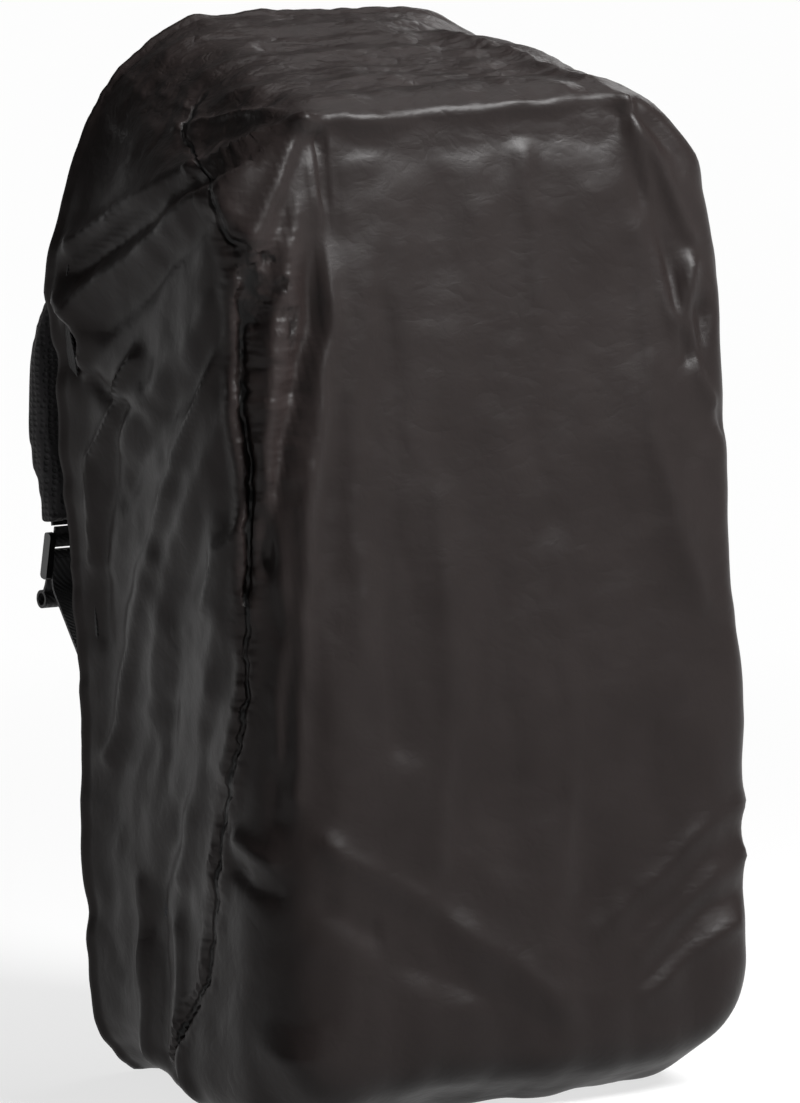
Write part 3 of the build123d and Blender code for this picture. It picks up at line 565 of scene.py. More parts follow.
def merged(frame: Dict[str, Any], names: Sequence[str]) -> bmesh.types.BMesh:
    """Copies CAD nodes into one bmesh and joins their loose triangles.

    Args:
        names: the CAD nodes.

    Returns:
        A bmesh with shared vertices.
    """
    bm = bmesh.new()
    for name in names:
        bm.from_mesh(frame["nodes"][name].data)
    bmesh.ops.remove_doubles(bm, verts=bm.verts, dist=JOIN_DISTANCE * MM)
    return bm


def coordinates(mesh: bpy.types.Mesh) -> np.ndarray:
    """Reads where a mesh's vertices are.

    Args:
        mesh: the mesh.

    Returns:
        One row for each vertex, in metres.
    """
    found = np.zeros(len(mesh.vertices) * 3)
    mesh.vertices.foreach_get("co", found)
    return found.reshape(-1, 3)


def set_coordinates(mesh: bpy.types.Mesh, places: np.ndarray) -> None:
    """Moves the mesh's vertices to the given places, in metres."""
    mesh.vertices.foreach_set("co", places.astype(np.float32).ravel())
    mesh.update()


def normals(mesh: bpy.types.Mesh) -> np.ndarray:
    """Reads a mesh's vertex normals.

    Args:
        mesh: the mesh.

    Returns:
        One row for each vertex.
    """
    found = np.zeros(len(mesh.vertices) * 3)
    mesh.vertices.foreach_get("normal", found)
    return found.reshape(-1, 3)


def apply_modifiers(piece: bpy.types.Object) -> None:
    """Replaces a piece's mesh by what its modifiers make of it, and removes them.

    Args:
        piece: the piece, which is changed.
    """
    graph = bpy.context.evaluated_depsgraph_get()
    done = bpy.data.meshes.new_from_object(piece.evaluated_get(graph))
    piece.modifiers.clear()
    piece.data = done


def add_levels(piece: bpy.types.Object, levels: int = 1) -> None:
    """Adds a Subdivision Surface that shows the same in every use.

    Args:
        piece: the piece, which gets the modifier.
        levels: how often its faces are divided.
    """
    smooth = piece.modifiers.new("smooth", "SUBSURF")
    smooth.levels = levels
    smooth.render_levels = levels


def relaxed(bm: bmesh.types.BMesh, verts: Sequence[bmesh.types.BMVert], passes: int) -> None:
    """Moves vertices halfway to the middle of their neighbours, several times over.

    Args:
        bm: the mesh, which is changed.
        verts: the vertices that move.
        passes: how many times they do.
    """
    for _ in range(passes):
        bmesh.ops.smooth_vert(bm, verts=verts, factor=0.5, use_axis_x=True, use_axis_y=True, use_axis_z=True)


def divided(bm: bmesh.types.BMesh, edge_mm: float) -> bmesh.types.BMesh:
    """Splits a mesh until its edges are short enough to bend.

    Args:
        bm: the mesh, which is changed.
        edge_mm: the longest edge to leave, or nearly.

    Returns:
        The same mesh.
    """
    bmesh.ops.dissolve_limit(
        bm, angle_limit=math.radians(SAME_FACE_ANGLE), verts=bm.verts, edges=bm.edges
    )
    bmesh.ops.triangulate(bm, faces=bm.faces)
    for _ in range(MOST_SPLITS):
        long = [e for e in bm.edges if e.calc_length() > edge_mm * MM]
        if not long:
            break
        bmesh.ops.subdivide_edges(bm, edges=long, cuts=1)
        bmesh.ops.triangulate(bm, faces=[f for f in bm.faces if len(f.verts) > 3])
    return bm


def cut_at(bm: bmesh.types.BMesh, height_mm: float, **drop: bool) -> None:
    """Cuts the mesh with a level plane.

    Args:
        bm: the mesh, which is changed.
        height_mm: the plane's height.
        drop: clear_inner or clear_outer, to drop what lies below or above.
    """
    whole = bm.verts[:] + bm.edges[:] + bm.faces[:]
    bmesh.ops.bisect_plane(bm, geom=whole, plane_co=(0, 0, height_mm * MM), plane_no=(0, 0, 1), **drop)


def wander(places: np.ndarray, size_mm: float, seed: float) -> np.ndarray:
    """Smooth noise at each place.

    Args:
        places: points in millimetres.
        size_mm: the size of its swells.
        seed: shifts the pattern.

    Returns:
        One value from -1 to 1 for each point.
    """
    shift = Vector((seed, 2.3 * seed, 3.1 * seed))
    return np.array([noise.noise(Vector(p) / size_mm + shift) for p in places])


def ramp(values: np.ndarray, start: float, end: float) -> np.ndarray:
    """A share that grows from 0 at start to 1 at end.

    Args:
        values: what it reads.
        start: where it is 0.
        end: where it is 1, above the start.

    Returns:
        One share for each value.
    """
    return np.clip((values - start) / (end - start), 0, 1)


def bell(values: np.ndarray, width: float) -> np.ndarray:
    """A share that is 1 at 0 and fades on both sides within about twice the width."""
    return np.exp(-((values / width) ** 2))


# ---------------------------------------------------------------- folds
@dataclass(frozen=True)
class Fold:
    """A ridge (height above 0) or valley along a line on the cloth, in millimetres."""

    line: Tuple[Point, ...]
    height: float
    width: float
    start: float = 1.0
    end: float = 0.3

    def lift(self, places: np.ndarray) -> np.ndarray:
        """How far the fold raises each point, in millimetres.

        Args:
            places: points in millimetres.

        Returns:
            One height for each point.
        """
        nearest = np.full(len(places), np.inf)
        along = np.zeros(len(places))
        steps = len(self.line) - 1
        for index in range(steps):
            a, b = np.array(self.line[index], float), np.array(self.line[index + 1], float)
            run = b - a
            share = np.clip(((places - a) @ run) / (run @ run), 0, 1)
            gap = np.linalg.norm(places - a - share[:, None] * run, axis=1)
            closer = gap < nearest
            nearest[closer] = gap[closer]
            along[closer] = (index + share[closer]) / steps
        strength = self.start + (self.end - self.start) * along
        ratio = nearest / self.width
        blunt = np.sqrt(ratio**2 + CREST_BLUNTNESS) - math.sqrt(CREST_BLUNTNESS)
        crest = np.exp(-CREST_SHARPNESS * blunt)
        return FOLD_STRENGTH * self.height * strength * (crest - FOOT_DEPTH * bell(ratio, FOOT_WIDTH))


@dataclass(frozen=True)
class Swell:
    """A place where slack cloth stands away from the form, or lies closer: a push in millimetres."""

    centre: Point
    radius: float
    push: Point

    def move(self, places: np.ndarray) -> np.ndarray:
        """The push at each point.

        Args:
            places: points in millimetres.

        Returns:
            One vector for each point, in millimetres.
        """
        gap = np.linalg.norm(places - np.array(self.centre), axis=1)
        return bell(gap, self.radius)[:, None] * np.array(self.push)


@dataclass(frozen=True)
class Ripple:
    """Uneven waves all over the cloth: their height and size in millimetres, and a seed."""

    height: float
    size: float
    seed: float
    sharpness: float = 2.2

    def wave(self, places: np.ndarray, shift: float = 0.0) -> np.ndarray:
        """Soft waves.

        Args:
            places: points in millimetres.
            shift: added to the seed.

        Returns:
            One height for each point.
        """
        return self.height * wander(places, self.size, self.seed + shift)

    def crease(self, places: np.ndarray) -> np.ndarray:
        """Sharp ridges between soft hollows.

        Args:
            places: points in millimetres.

        Returns:
            One height for each point.
        """
        return self.height * (1 - self.sharpness * np.abs(wander(places, self.size, self.seed)))


FOLD_STRENGTH = 1.9  # of all the folds together
CREST_SHARPNESS = 1.7
CREST_BLUNTNESS = 0.1  # of a fold's very edge
FOOT_DEPTH = 0.3  # of the hollow beside a ridge, as a share of its height
FOOT_WIDTH = 2.4  # of that hollow, in widths of the ridge

FOLDS: Tuple[Fold, ...] = (
    # The crease along the front's upper edge, and the slack below it.
    Fold(
        ((-104, -44, 531), (-55, -46, 529), (0, -46, 531), (55, -46, 532), (96, -45, 530)),
        2.2, 5, 1.0, 0.9,
    ),
    Fold(((-95, -47, 517), (-20, -49, 515), (50, -48, 517), (88, -48, 518)), -1.6, 11, 1.0, 0.8),
    # Tension folds that fan out from the left upper corner.
    Fold(((-105, -43, 530), (-118, -3, 528), (-134, 34, 520)), 3.4, 5, 0.9, 0.6),
    Fold(((-104, -40, 530), (-124, -14, 522), (-141, 20, 512)), -3.2, 6, 0.8, 0.6),
    Fold(((-105, -43, 530), (-138, -26, 514), (-149, -5, 503)), 4.2, 6, 0.9, 0.8),
    Fold(((-106, -44, 529), (-134, -38, 510), (-152, -20, 497)), -3.6, 6, 0.8, 0.8),
    Fold(((-105, -43, 529), (-132, -42, 512), (-154, -38, 494)), 4.0, 6, 0.9, 0.6),
    Fold(((-105, -44, 527), (-131, -51, 489), (-152, -52, 443)), 4.6, 8, 0.8, 0.7),
    Fold(((-104, -46, 524), (-122, -52, 480), (-140, -58, 425)), -4.4, 9, 0.7, 0.5),
    # Long soft folds down the front's left edge.
    Fold(
        ((-96, -47, 519), (-94, -51, 487), (-109, -59, 420), (-129, -67, 359), (-144, -71, 302)),
        -7.0, 10, 0.6, 0.6,
    ),
    Fold(
        ((-98, -45, 527), (-98, -58, 435), (-114, -70, 345), (-124, -77, 280), (-136, -87, 177)),
        4.6, 8, 0.9, 0.5,
    ),
    Fold(
        ((-105, -44, 527), (-129, -57, 437), (-140, -65, 360), (-137, -77, 271), (-146, -80, 198)),
        3.4, 9, 0.7, 0.8,
    ),
    Fold(((-140, -68, 300), (-138, -76, 235), (-144, -80, 165)), -3.2, 9, 0.5, 0.8),
    # Diagonal tension ridges over the left shoulder.
    Fold(((-149, -4, 503), (-159, 41, 480), (-160, 97, 453)), 4.2, 9, 0.6, 1.0),
    Fold(((-150, -12, 496), (-159, 35, 470), (-159, 95, 438)), -5.2, 9, 0.6, 0.9),
    Fold(((-155, -24, 490), (-159, 31, 455), (-158, 92, 420)), 4.4, 9, 0.7, 1.0),
    Fold(((-156, -34, 478), (-159, 21, 440), (-158, 70, 410)), -4.8, 11, 0.7, 0.7),
    Fold(((-154, -50, 440), (-157, 3, 401), (-156, 57, 352)), 4.0, 13, 0.6, 0.6),
    Fold(((-154, -46, 415), (-156, 10, 372), (-155, 60, 320)), -4.0, 12, 0.6, 0.6),
    # The left bulge behind the shoulder, with its lit facet and small hollow.
    Fold(((-160, 102, 425), (-158, 84, 402), (-157, 92, 384)), 4.5, 8, 0.8, 0.9),
    Fold(((-158, 98, 408), (-157, 104, 390)), -5.0, 8, 1.0, 0.8),
    Fold(((-157, 38, 398), (-158, 89, 338), (-156, 95, 284)), 5.0, 7, 0.9, 0.5),
    Fold(((-158, 96, 384), (-158, 62, 374), (-157, 34, 366)), -3.6, 7, 1.0, 0.6),
    # Long diagonal folds down the left side.
    Fold(((-156, -50, 422), (-156, 6, 341), (-154, 63, 248)), 3.4, 8, 0.9, 0.5),
    Fold(((-156, -56, 318), (-155, -36, 300), (-154, -24, 270)), 4.0, 7, 1.0, 0.4),
    Fold(((-154, -53, 386), (-154, 6, 303), (-152, 50, 209)), 3.4, 14, 0.6, 0.5),
    Fold(((-153, -40, 345), (-154, 10, 260), (-151, 30, 170)), -3.2, 15, 0.5, 0.6),
    Fold(((-154, 29, 291), (-152, 64, 233), (-151, 90, 176)), 4.2, 10, 0.7, 0.8),
    Fold(((-154, -44, 300), (-152, -20, 219), (-149, 10, 125)), 3.0, 13, 0.5, 0.7),
    Fold(((-152, -50, 250), (-150, 4, 168), (-148, 50, 90)), -3.6, 13, 0.4, 0.7),
    Fold(((-156, 57, 363), (-154, 87, 284), (-153, 95, 240)), -3.6, 10, 0.7, 0.6),
    # The right side's fan, which starts at the right upper corner.
    Fold(((95, -46, 528), (119, -50, 496), (138, -55, 457)), 4.0, 7, 0.9, 0.5),
    Fold(((95, -48, 526), (126, -46, 505), (150, -40, 478)), -4.0, 8, 0.8, 0.5),
    Fold(((95, -46, 529), (109, -51, 486), (117, -61, 411)), 3.4, 7, 0.8, 0.5),
    Fold(((104, -50, 490), (120, -56, 440), (126, -62, 392)), -3.6, 8, 0.6, 0.7),
    Fold(((136, -57, 440), (124, -60, 412), (144, -63, 366)), 4.0, 8, 0.7, 0.8),
    Fold(((140, -60, 415), (134, -62, 396), (150, -60, 350)), -3.6, 8, 0.8, 0.6),
    Fold(((101, -55, 460), (99, -67, 359), (124, -79, 262)), 2.2, 12, 0.5, 0.7),
    # Low ridges at the right foot.
    Fold(((144, -88, 125), (116, -97, 112), (72, -101, 80)), 2.4, 9, 0.9, 0.4),
    Fold(((140, -92, 108), (108, -98, 95), (74, -102, 66)), -2.0, 8, 0.8, 0.4),
    Fold(((135, -97, 88), (103, -102, 74), (73, -103, 58)), 2.2, 7, 0.9, 0.4),
    Fold(((148, -82, 152), (108, -94, 135), (47, -100, 93)), 2.6, 10, 0.7, 0.4),
    # Upright ridges and small facets at the left foot.
    Fold(((-149, 60, 110), (-148, 57, 61), (-141, 56, 18)), 4.2, 9, 0.6, 1.0),
    Fold(((-149, 38, 100), (-147, 36, 55), (-140, 32, 14)), -3.8, 9, 0.5, 1.0),
    Fold(((-149, 14, 94), (-148, 10, 57), (-139, 4, 17)), 3.6, 8, 0.6, 0.9),
    Fold(((-150, -51, 152), (-149, -80, 143)), 3.2, 7, 0.9, 0.7),
    Fold(((-150, -48, 136), (-147, -82, 126)), -3.0, 7, 0.9, 0.7),
    # Faint upright waves down the front.
    Fold(((-60, -51, 485), (-88, -65, 372), (-90, -79, 257)), 2.0, 14, 0.5, 0.7),
    Fold(((-62, -60, 430), (-66, -75, 310), (-72, -88, 200)), -2.0, 15, 0.5, 0.8),
    Fold(((-35, -71, 326), (-36, -84, 221), (-50, -94, 138)), 2.0, 13, 0.6, 0.8),
    Fold(((29, -49, 506), (35, -59, 427), (30, -68, 350)), 1.6, 12, 0.8, 0.4),
    Fold(((37, -75, 289), (39, -87, 194), (24, -96, 121)), 1.8, 15, 0.6, 0.7),
    Fold(((-117, -93, 149), (-64, -96, 118), (19, -104, 58)), 2.4, 12, 0.8, 0.5),
    Fold(((-120, -92, 118), (-60, -100, 84), (10, -104, 48)), -2.2, 12, 0.8, 0.5),
    # Broad rolls over the top.
    Fold(((-118, 90, 548), (-60, 86, 560), (50, 86, 563)), 2.4, 8, 0.9, 0.8),
    Fold(((-124, 60, 541), (-67, 40, 552), (30, 42, 553)), 2.8, 8, 0.8, 0.6),
    Fold(((-126, 30, 536), (-100, 5, 541), (-5, -3, 543), (62, -38, 536)), 2.6, 8, 0.9, 0.6),
    Fold(((-60, 62, 556), (20, 60, 557), (70, 40, 552)), -2.4, 8, 0.7, 0.8),
    Fold(((60, 70, 558), (74, 20, 547), (86, -40, 534)), 2.6, 8, 0.8, 0.8),
    # The right and back of the cover, whose slack hangs in the same way.
    Fold(((152, 10, 470), (156, 60, 420), (156, 96, 380)), 4.0, 11, 0.7, 0.9),
    Fold(((153, -20, 400), (155, 40, 330), (153, 90, 250)), 4.4, 13, 0.6, 0.8),
    Fold(((153, 0, 300), (153, 50, 220), (150, 88, 150)), -4.0, 13, 0.6, 0.8),
    Fold(((152, -40, 260), (150, 20, 170), (148, 70, 90)), 4.0, 13, 0.6, 0.8),
    Fold(((149, 50, 110), (147, 44, 60), (140, 40, 16)), 4.0, 9, 0.6, 1.0),
)

SWELLS: Tuple[Swell, ...] = (
    Swell((-118, 92, 548), 34, (-6, 0, 3)),
    Swell((-158, 96, 506), 36, (14, 0, 0)),
    Swell((-160, 96, 425), 32, (-6, 2, 0)),
    Swell((-150, 80, 200), 95, (9, 0, 0)),
    Swell((-150, 90, 60), 70, (8, 0, 0)),
    Swell((-137, 96, 10), 30, (3, 0, 4)),
    Swell((82, 97, 562), 26, (-6, 0, -6)),
    Swell((150, -45, 480), 40, (-5, 2, -2)),
    Swell((122, -30, 524), 26, (0, -1, 1)),
    Swell((150, -60, 190), 60, (6, 0, 0)),
    Swell((138, -70, 14), 48, (-1, 0, 4)),
    Swell((-138, 0, 14), 50, (-5, 0, -10)),
    Swell((-118, -64, 12), 50, (-3, -4, -10)),
    Swell((20, -80, 6), 70, (0, -8, -4)),
)
FLOOR_ROOM = 1.5  # in millimetres, between what gives way and the floor


def slackened(places: np.ndarray) -> np.ndarray:
    """Moves points with the slack of the cover, and with what gives way under it.

    Args:
        places: points in millimetres.

    Returns:
        The moved points, none of which sinks below the floor.
    """
    moved = places + sum(swell.move(places) for swell in SWELLS)
    moved[:, 2] = np.maximum(moved[:, 2], np.minimum(places[:, 2], FLOOR_ROOM))
    return moved


# Where the seam between the gusset and the front panel runs on one side, as (height, y).
SEAM_PATH: Tuple[Point2, ...] = (
    (0, 34), (20, 27), (71, -16), (110, -26), (154, -33), (182, -42), (227, -58), (333, -60),
    (428, -55), (464, -50), (494, -34), (505, -8), (517, 28), (530, 40), (570, 44),
)


def seam_y(heights: np.ndarray) -> np.ndarray:
    """The seam's y at each height, in millimetres."""
    table = np.array(SEAM_PATH)
    return np.interp(heights, table[:, 0], table[:, 1])


# ---------------------------------------------------------------- rain cover
@dataclass
class RainCover:
    """The fitted cover: one shell of thin cloth with a gathered hem round its open back, in millimetres."""

    cuts: Tuple[int, int, int] = (95, 57, 156)  # across, from front to back, and upwards
    core_inset: float = 50.0
    core_reach: float = 200.0  # from the core, where the way in to the cover starts
    rounding: int = 14
    wall: float = 0.6
    lean_start: float = 60.0  # height below which the front stands upright
    front_lean: float = 0.1228
    side_heights: Tuple[float, ...] = (0.0, 506.0, 540.0)
    side_widths: Tuple[float, ...] = (146.0, 160.0, 120.0)
    corner_heights: Tuple[float, ...] = (20.0, 60.0, 420.0, 500.0)
    corner_radii: Tuple[float, ...] = (16.0, 46.0, 48.0, 16.0)  # on the left, where the cloth hangs slack
    right_radius: float = 16.0
    pocket_half_width: float = 92.0
    pocket_depth: float = -46.0
    pocket_room: float = 1.2  # how far the cloth may sink in front of the pocket's zips
    floor_room: float = 0.3
    front_depths: Point2 = (35.0, 55.0)  # before the middle, over which a side turns into the front
    front_top: Point2 = (480.0, 520.0)
    bends: Tuple[Ripple, ...] = (Ripple(3.0, 34, 1.0), Ripple(1.2, 11, 5.0))
    side_waves: Ripple = Ripple(2.0, 52, 9.0)
    front_waves: Ripple = Ripple(2.4, 30, 4.0)
    small_waves: Ripple = Ripple(0.5, 17, 2.0)
    side_creases: Tuple[Ripple, ...] = (Ripple(0.6, 30, 14.0, 3.2), Ripple(0.4, 14, 17.0, 3.2))
    creases_start: Point2 = (20.0, 80.0)
    creases_end: Point2 = (460.0, 500.0)
    crease_slope: Point2 = (0.5, 0.87)  # forwards and down
    crease_stretch: Point = (0.5, 1.0, 0.45)  # sideways, across the creases and along them
    top_creases: Tuple[Ripple, ...] = (Ripple(0.9, 15, 3.0), Ripple(0.7, 8, 7.0))
    top_stretch: Point = (0.22, 1.0, 1.0)
    top_heights: Point2 = (492.0, 516.0)
    top_depths: Point2 = (-40.0, -24.0)
    upright_stretch: Point = (1.0, 1.0, 0.35)
    right_seam_shift: float = 30.0
    seam_drawn: Point2 = (108.0, 122.0)  # from the middle, over which the seam's stitching appears
    seam_raised: Point2 = (110.0, 125.0)  # and its puckers
    groove_depth: float = 4.2
    groove_width: float = 3.2
    groove_pull: Ripple = Ripple(0.9, 34, 12.0)  # how much deeper or flatter it is than its mean
    groove_mean: float = 0.65
    tucks: Ripple = Ripple(2.2, 10, 6.0)
    tuck_stretch: Point = (0.3, 0.6, 1.3)
    tuck_reach: float = 9.0
    lip_height: float = 1.8
    lip_offset: float = 7.5
    lip_width: float = 4.5
    gather_height: float = 0.9
    gather_reach: float = 9.0
    gather_length: float = 3.1
    gather_sway: Ripple = Ripple(2.2, 30, 8.0)
    gather_mean: float = 0.5
    gather_spread: Ripple = Ripple(1.0, 60, 3.0)
    gather_share: float = 0.6  # of the even waves, beside the uneven ones
    loose_gathers: Ripple = Ripple(1.2, 9, 11.0)
    mouth_middle: float = 280.0  # height of the middle of the open back
    mouth_radius: float = 190.0
    mouth_narrowing: float = 1.6  # turns the open back into a round one, nearly
    gather_depth: float = 0.12  # the gathers' change with depth, against that along the hem
    corner_reach: Point2 = (90.0, 220.0)  # from the open back's middle, where its corners start to turn
    corner_power: int = 3
    # The roll's steps, each one to the rear and outwards.
    hem_roll: Tuple[Point2, ...] = ((2.5, 1.6), (3.5, 1.0), (3.0, -1.4), (0.5, -3.2), (-2.5, -3.6))
    hem_spread: float = 0.6  # how much of each step to the rear is taken
    hem_room: float = 0.5  # between the rolled hem and the floor
    nodes: Tuple[str, ...] = (
        "cover_front_panel",
        "cover_gusset_top",
        "cover_gusset_bottom",
        "cover_gusset_left",
        "cover_gusset_right",
        "cover_hem",
    )

    def build(self, frame: Dict[str, Any]) -> bpy.types.Object:
        """Makes the cover and puts it on its body.


        Returns:
            The cover's object.
        """
        self._measure()
        bm = self._grid()
        self._lay_on(frame, bm)
        piece = to_object(bm, "cover_cloth", COVER_CLOTH)
        self._fold(piece.data)
        self._roll_hem(piece.data)
        wall = piece.modifiers.new("wall", "SOLIDIFY")
        wall.thickness = self.wall * MM
        wall.offset = -1.0
        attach(piece, "rain_cover")
        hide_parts(*self.nodes)
        log.info("%s: %d faces", piece.name, len(piece.data.polygons))
        return piece

    def _measure(self) -> None:
        """Reads the cover's box from the CAD nodes."""
        boxes = [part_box(name) for name in self.nodes]
        self.low = Vector([min(b[0][i] for b in boxes) for i in range(3)])
        self.high = Vector([max(b[1][i] for b in boxes) for i in range(3)])

    def _front_at(self, heights: Any) -> Any:
        """The y of the leaning front at each height, in millimetres."""
        return self.low.y / MM + self.front_lean * np.maximum(heights - self.lean_start, 0)

    def _grid(self) -> bmesh.types.BMesh:
        """Makes a box of fine quads round the cover.

        Returns:
            The box, open at the back.
        """
        bm = bmesh.new()
        bmesh.ops.create_cube(bm, size=1.0)
        bmesh.ops.scale(bm, vec=self.high - self.low, verts=bm.verts)
        bmesh.ops.translate(bm, vec=(self.low + self.high) / 2, verts=bm.verts)
        back = [f for f in bm.faces if f.normal.y > ALIGNED]
        bmesh.ops.delete(bm, geom=back, context="FACES")
        for axis, count in enumerate(self.cuts):
            along = [
                e for e in bm.edges if abs((e.verts[1].co - e.verts[0].co).normalized()[axis]) > ALIGNED
            ]
            bmesh.ops.subdivide_edges(bm, edges=along, cuts=count, use_grid_fill=True)
        return bm

    def _lay_on(self, frame: Dict[str, Any], bm: bmesh.types.BMesh) -> None:
        """Drops every vertex onto the outside of the CAD cover, and rounds the corners.

        Args:
            bm: the box of quads, which is changed.
        """
        form = merged(frame, self.nodes)
        tree = BVHTree.FromBMesh(form)
        form.free()
        inset = self.core_inset * MM
        low, high = self.low + Vector((inset,) * 3), self.high - Vector((inset,) * 3)
        high.y = self.high.y - 1 * MM
        for vert in bm.verts:
            front = self._front_at(vert.co.z / MM) * MM
            share = (vert.co.y - self.low.y) / (self.high.y - self.low.y)
            vert.co.y = front + share * (self.high.y - front)
            low.y = front + inset
            core = Vector([min(max(vert.co[i], low[i]), high[i]) for i in range(3)])
            away = (vert.co - core).normalized()
            hit = tree.ray_cast(core + away * self.core_reach * MM, -away)[0]
            if hit is not None:
                vert.co = hit
        relaxed(bm, [v for v in bm.verts if not v.is_boundary], self.rounding)

    def _fold(self, mesh: bpy.types.Mesh) -> None:
        """Raises the folds, the creases of the top, and the puckers of the seam and the hem.

        Args:
            mesh: the cover's mesh, which is changed.
        """
        places = coordinates(mesh) / MM
        bent = places.copy()
        for axis in range(3):
            bent[:, axis] += sum(bend.wave(places, axis) for bend in self.bends)
        places = slackened(self._round_corners(places))
        set_coordinates(mesh, places * MM)
        lift = sum(fold.lift(bent) for fold in FOLDS)
        lift += self._slack(bent) + self._top_wrinkles(bent) + self._seam_puckers(bent)
        lift += self._hem_gathers(bent)
        over_pocket = (np.abs(bent[:, 0]) < self.pocket_half_width) & (bent[:, 1] < self.pocket_depth)
        lift = np.where(over_pocket, np.maximum(lift, -self.pocket_room), lift)
        places += normals(mesh) * lift[:, None]
        places[:, 2] = np.maximum(places[:, 2], self.floor_room)
        set_coordinates(mesh, places * MM)
        self._mark_seam(mesh, bent)

    def _round_corners(self, places: np.ndarray) -> np.ndarray:
        """Draws the cloth round the front's upright corners in a wide curve.

        Args:
            places: points in millimetres.

        Returns:
            The moved points.
        """
        side = np.interp(places[:, 2], self.side_heights, self.side_widths)
        left = np.interp(places[:, 2], self.corner_heights, self.corner_radii)
        radius = np.where(places[:, 0] < 0, left, self.right_radius)
        across = np.maximum(np.abs(places[:, 0]) - (side - radius), 0)
        ahead = np.maximum(self._front_at(places[:, 2]) + radius - places[:, 1], 0)
        reach = np.maximum(np.hypot(across, ahead), 1e-6)
        share = np.where((across > 0) & (ahead > 0), np.minimum(1, radius / reach), 1.0)
        made = places.copy()
        made[:, 0] -= np.sign(places[:, 0]) * across * (1 - share)
        made[:, 1] += ahead * (1 - share)
        return made

    def _slack(self, places: np.ndarray) -> np.ndarray:
        """Broad uneven waves of cloth that nothing pulls tight, and creases that hang down the sides.

        Args:
            places: points in millimetres.

        Returns:
            One height for each point.
        """
        heights = places[:, 2]
        front = ramp(-places[:, 1], *self.front_depths) * (1 - ramp(heights, *self.front_top))
        side = 1 - front
        upright = places * np.array(self.upright_stretch)
        broad = side * self.side_waves.wave(places) + front * self.front_waves.wave(upright)
        forward, down = self.crease_slope
        across = down * places[:, 1] + forward * heights
        along = down * heights - forward * places[:, 1]
        falling = np.column_stack([places[:, 0], across, along]) * np.array(self.crease_stretch)
        hanging = side * ramp(heights, *self.creases_start) * (1 - ramp(heights, *self.creases_end))
        creases = sum(ripple.crease(falling) for ripple in self.side_creases)
        return broad + hanging * creases + (1 + side) * self.small_waves.wave(places)

    def _top_wrinkles(self, places: np.ndarray) -> np.ndarray:
        """Many small wrinkles that run across the top, from side to side.

        Args:
            places: points in millimetres.

        Returns:
            One height for each point.
        """
        share = ramp(places[:, 2], *self.top_heights) * ramp(places[:, 1], *self.top_depths)
        drawn = places * np.array(self.top_stretch)
        return share * sum(ripple.crease(drawn) for ripple in self.top_creases)

    def _mark_seam(self, mesh: bpy.types.Mesh, places: np.ndarray) -> None:
        """Stores how far each point lies behind the seam, and whether it is on a side at all.

        Args:
            mesh: the cover's mesh, which gets two attributes.
            places: its points in millimetres.
        """
        look = SeamLook()
        share = ramp(np.abs(places[:, 0]), *self.seam_drawn)
        for name, values in ((look.gap, self._behind_seam(places)), (look.share, share)):
            stored = mesh.attributes.new(name, "FLOAT", "POINT")
            stored.data.foreach_set("value", values.astype(np.float32))

    def _behind_seam(self, places: np.ndarray) -> np.ndarray:
        """How far each point lies behind the gusset's seam, in millimetres."""
        return places[:, 1] - seam_y(places[:, 2]) - np.where(places[:, 0] > 0, self.right_seam_shift, 0.0)

    def _seam_puckers(self, places: np.ndarray) -> np.ndarray:
        """The gusset's seam: a groove with small tucks along it, and a lip behind it.

        Args:
            places: points in millimetres.

        Returns:
            One height for each point.
        """
        behind = self._behind_seam(places)
        side = ramp(np.abs(places[:, 0]), *self.seam_raised)
        pull = self.groove_mean + self.groove_pull.wave(places * np.array([0.0, 0.0, 1.0]))
        groove = -self.groove_depth * pull * bell(behind, self.groove_width)
        tucks = bell(behind, self.tuck_reach) * self.tucks.wave(places * np.array(self.tuck_stretch))
        lip = self.lip_height * pull * bell(behind - self.lip_offset, self.lip_width)
        return side * (groove + tucks + lip)

    def _hem_gathers(self, places: np.ndarray) -> np.ndarray:
        """Gathers where the elastic draws the hem in, fading into the cloth.

        Args:
            places: points in millimetres.

        Returns:
            One height for each point.
        """
        fade = np.exp(-(self.high.y / MM - places[:, 1]) / self.gather_reach)
        turn = np.arctan2(places[:, 2] - self.mouth_middle, self.mouth_narrowing * places[:, 0])
        around = turn * self.mouth_radius
        line = np.column_stack([around, self.gather_depth * places[:, 1], np.zeros(len(places))])
        waves = np.sin(around / self.gather_length + self.gather_sway.wave(line))
        even = self.gather_share * waves * (self.gather_mean + self.gather_spread.wave(line))
        return fade * self.gather_height * (even + self.loose_gathers.wave(line))

    def _inward(self, place: Vector) -> Vector:
        """The way from a point of the hem towards the middle of the cover's mouth, without depth.

        Args:
            place: a point of the hem, in metres.

        Returns:
            A vector of length 1, or 0 in the very middle.
        """
        middle = (self.low.z + self.high.z) / 2
        x_reach, z_reach = self.corner_reach
        x_share = min(abs(place.x) / (x_reach * MM), 1) ** self.corner_power
        z_share = min(abs(place.z - middle) / (z_reach * MM), 1) ** self.corner_power
        toward = Vector((math.copysign(x_share, -place.x), 0, math.copysign(z_share, middle - place.z)))
        return toward.normalized()

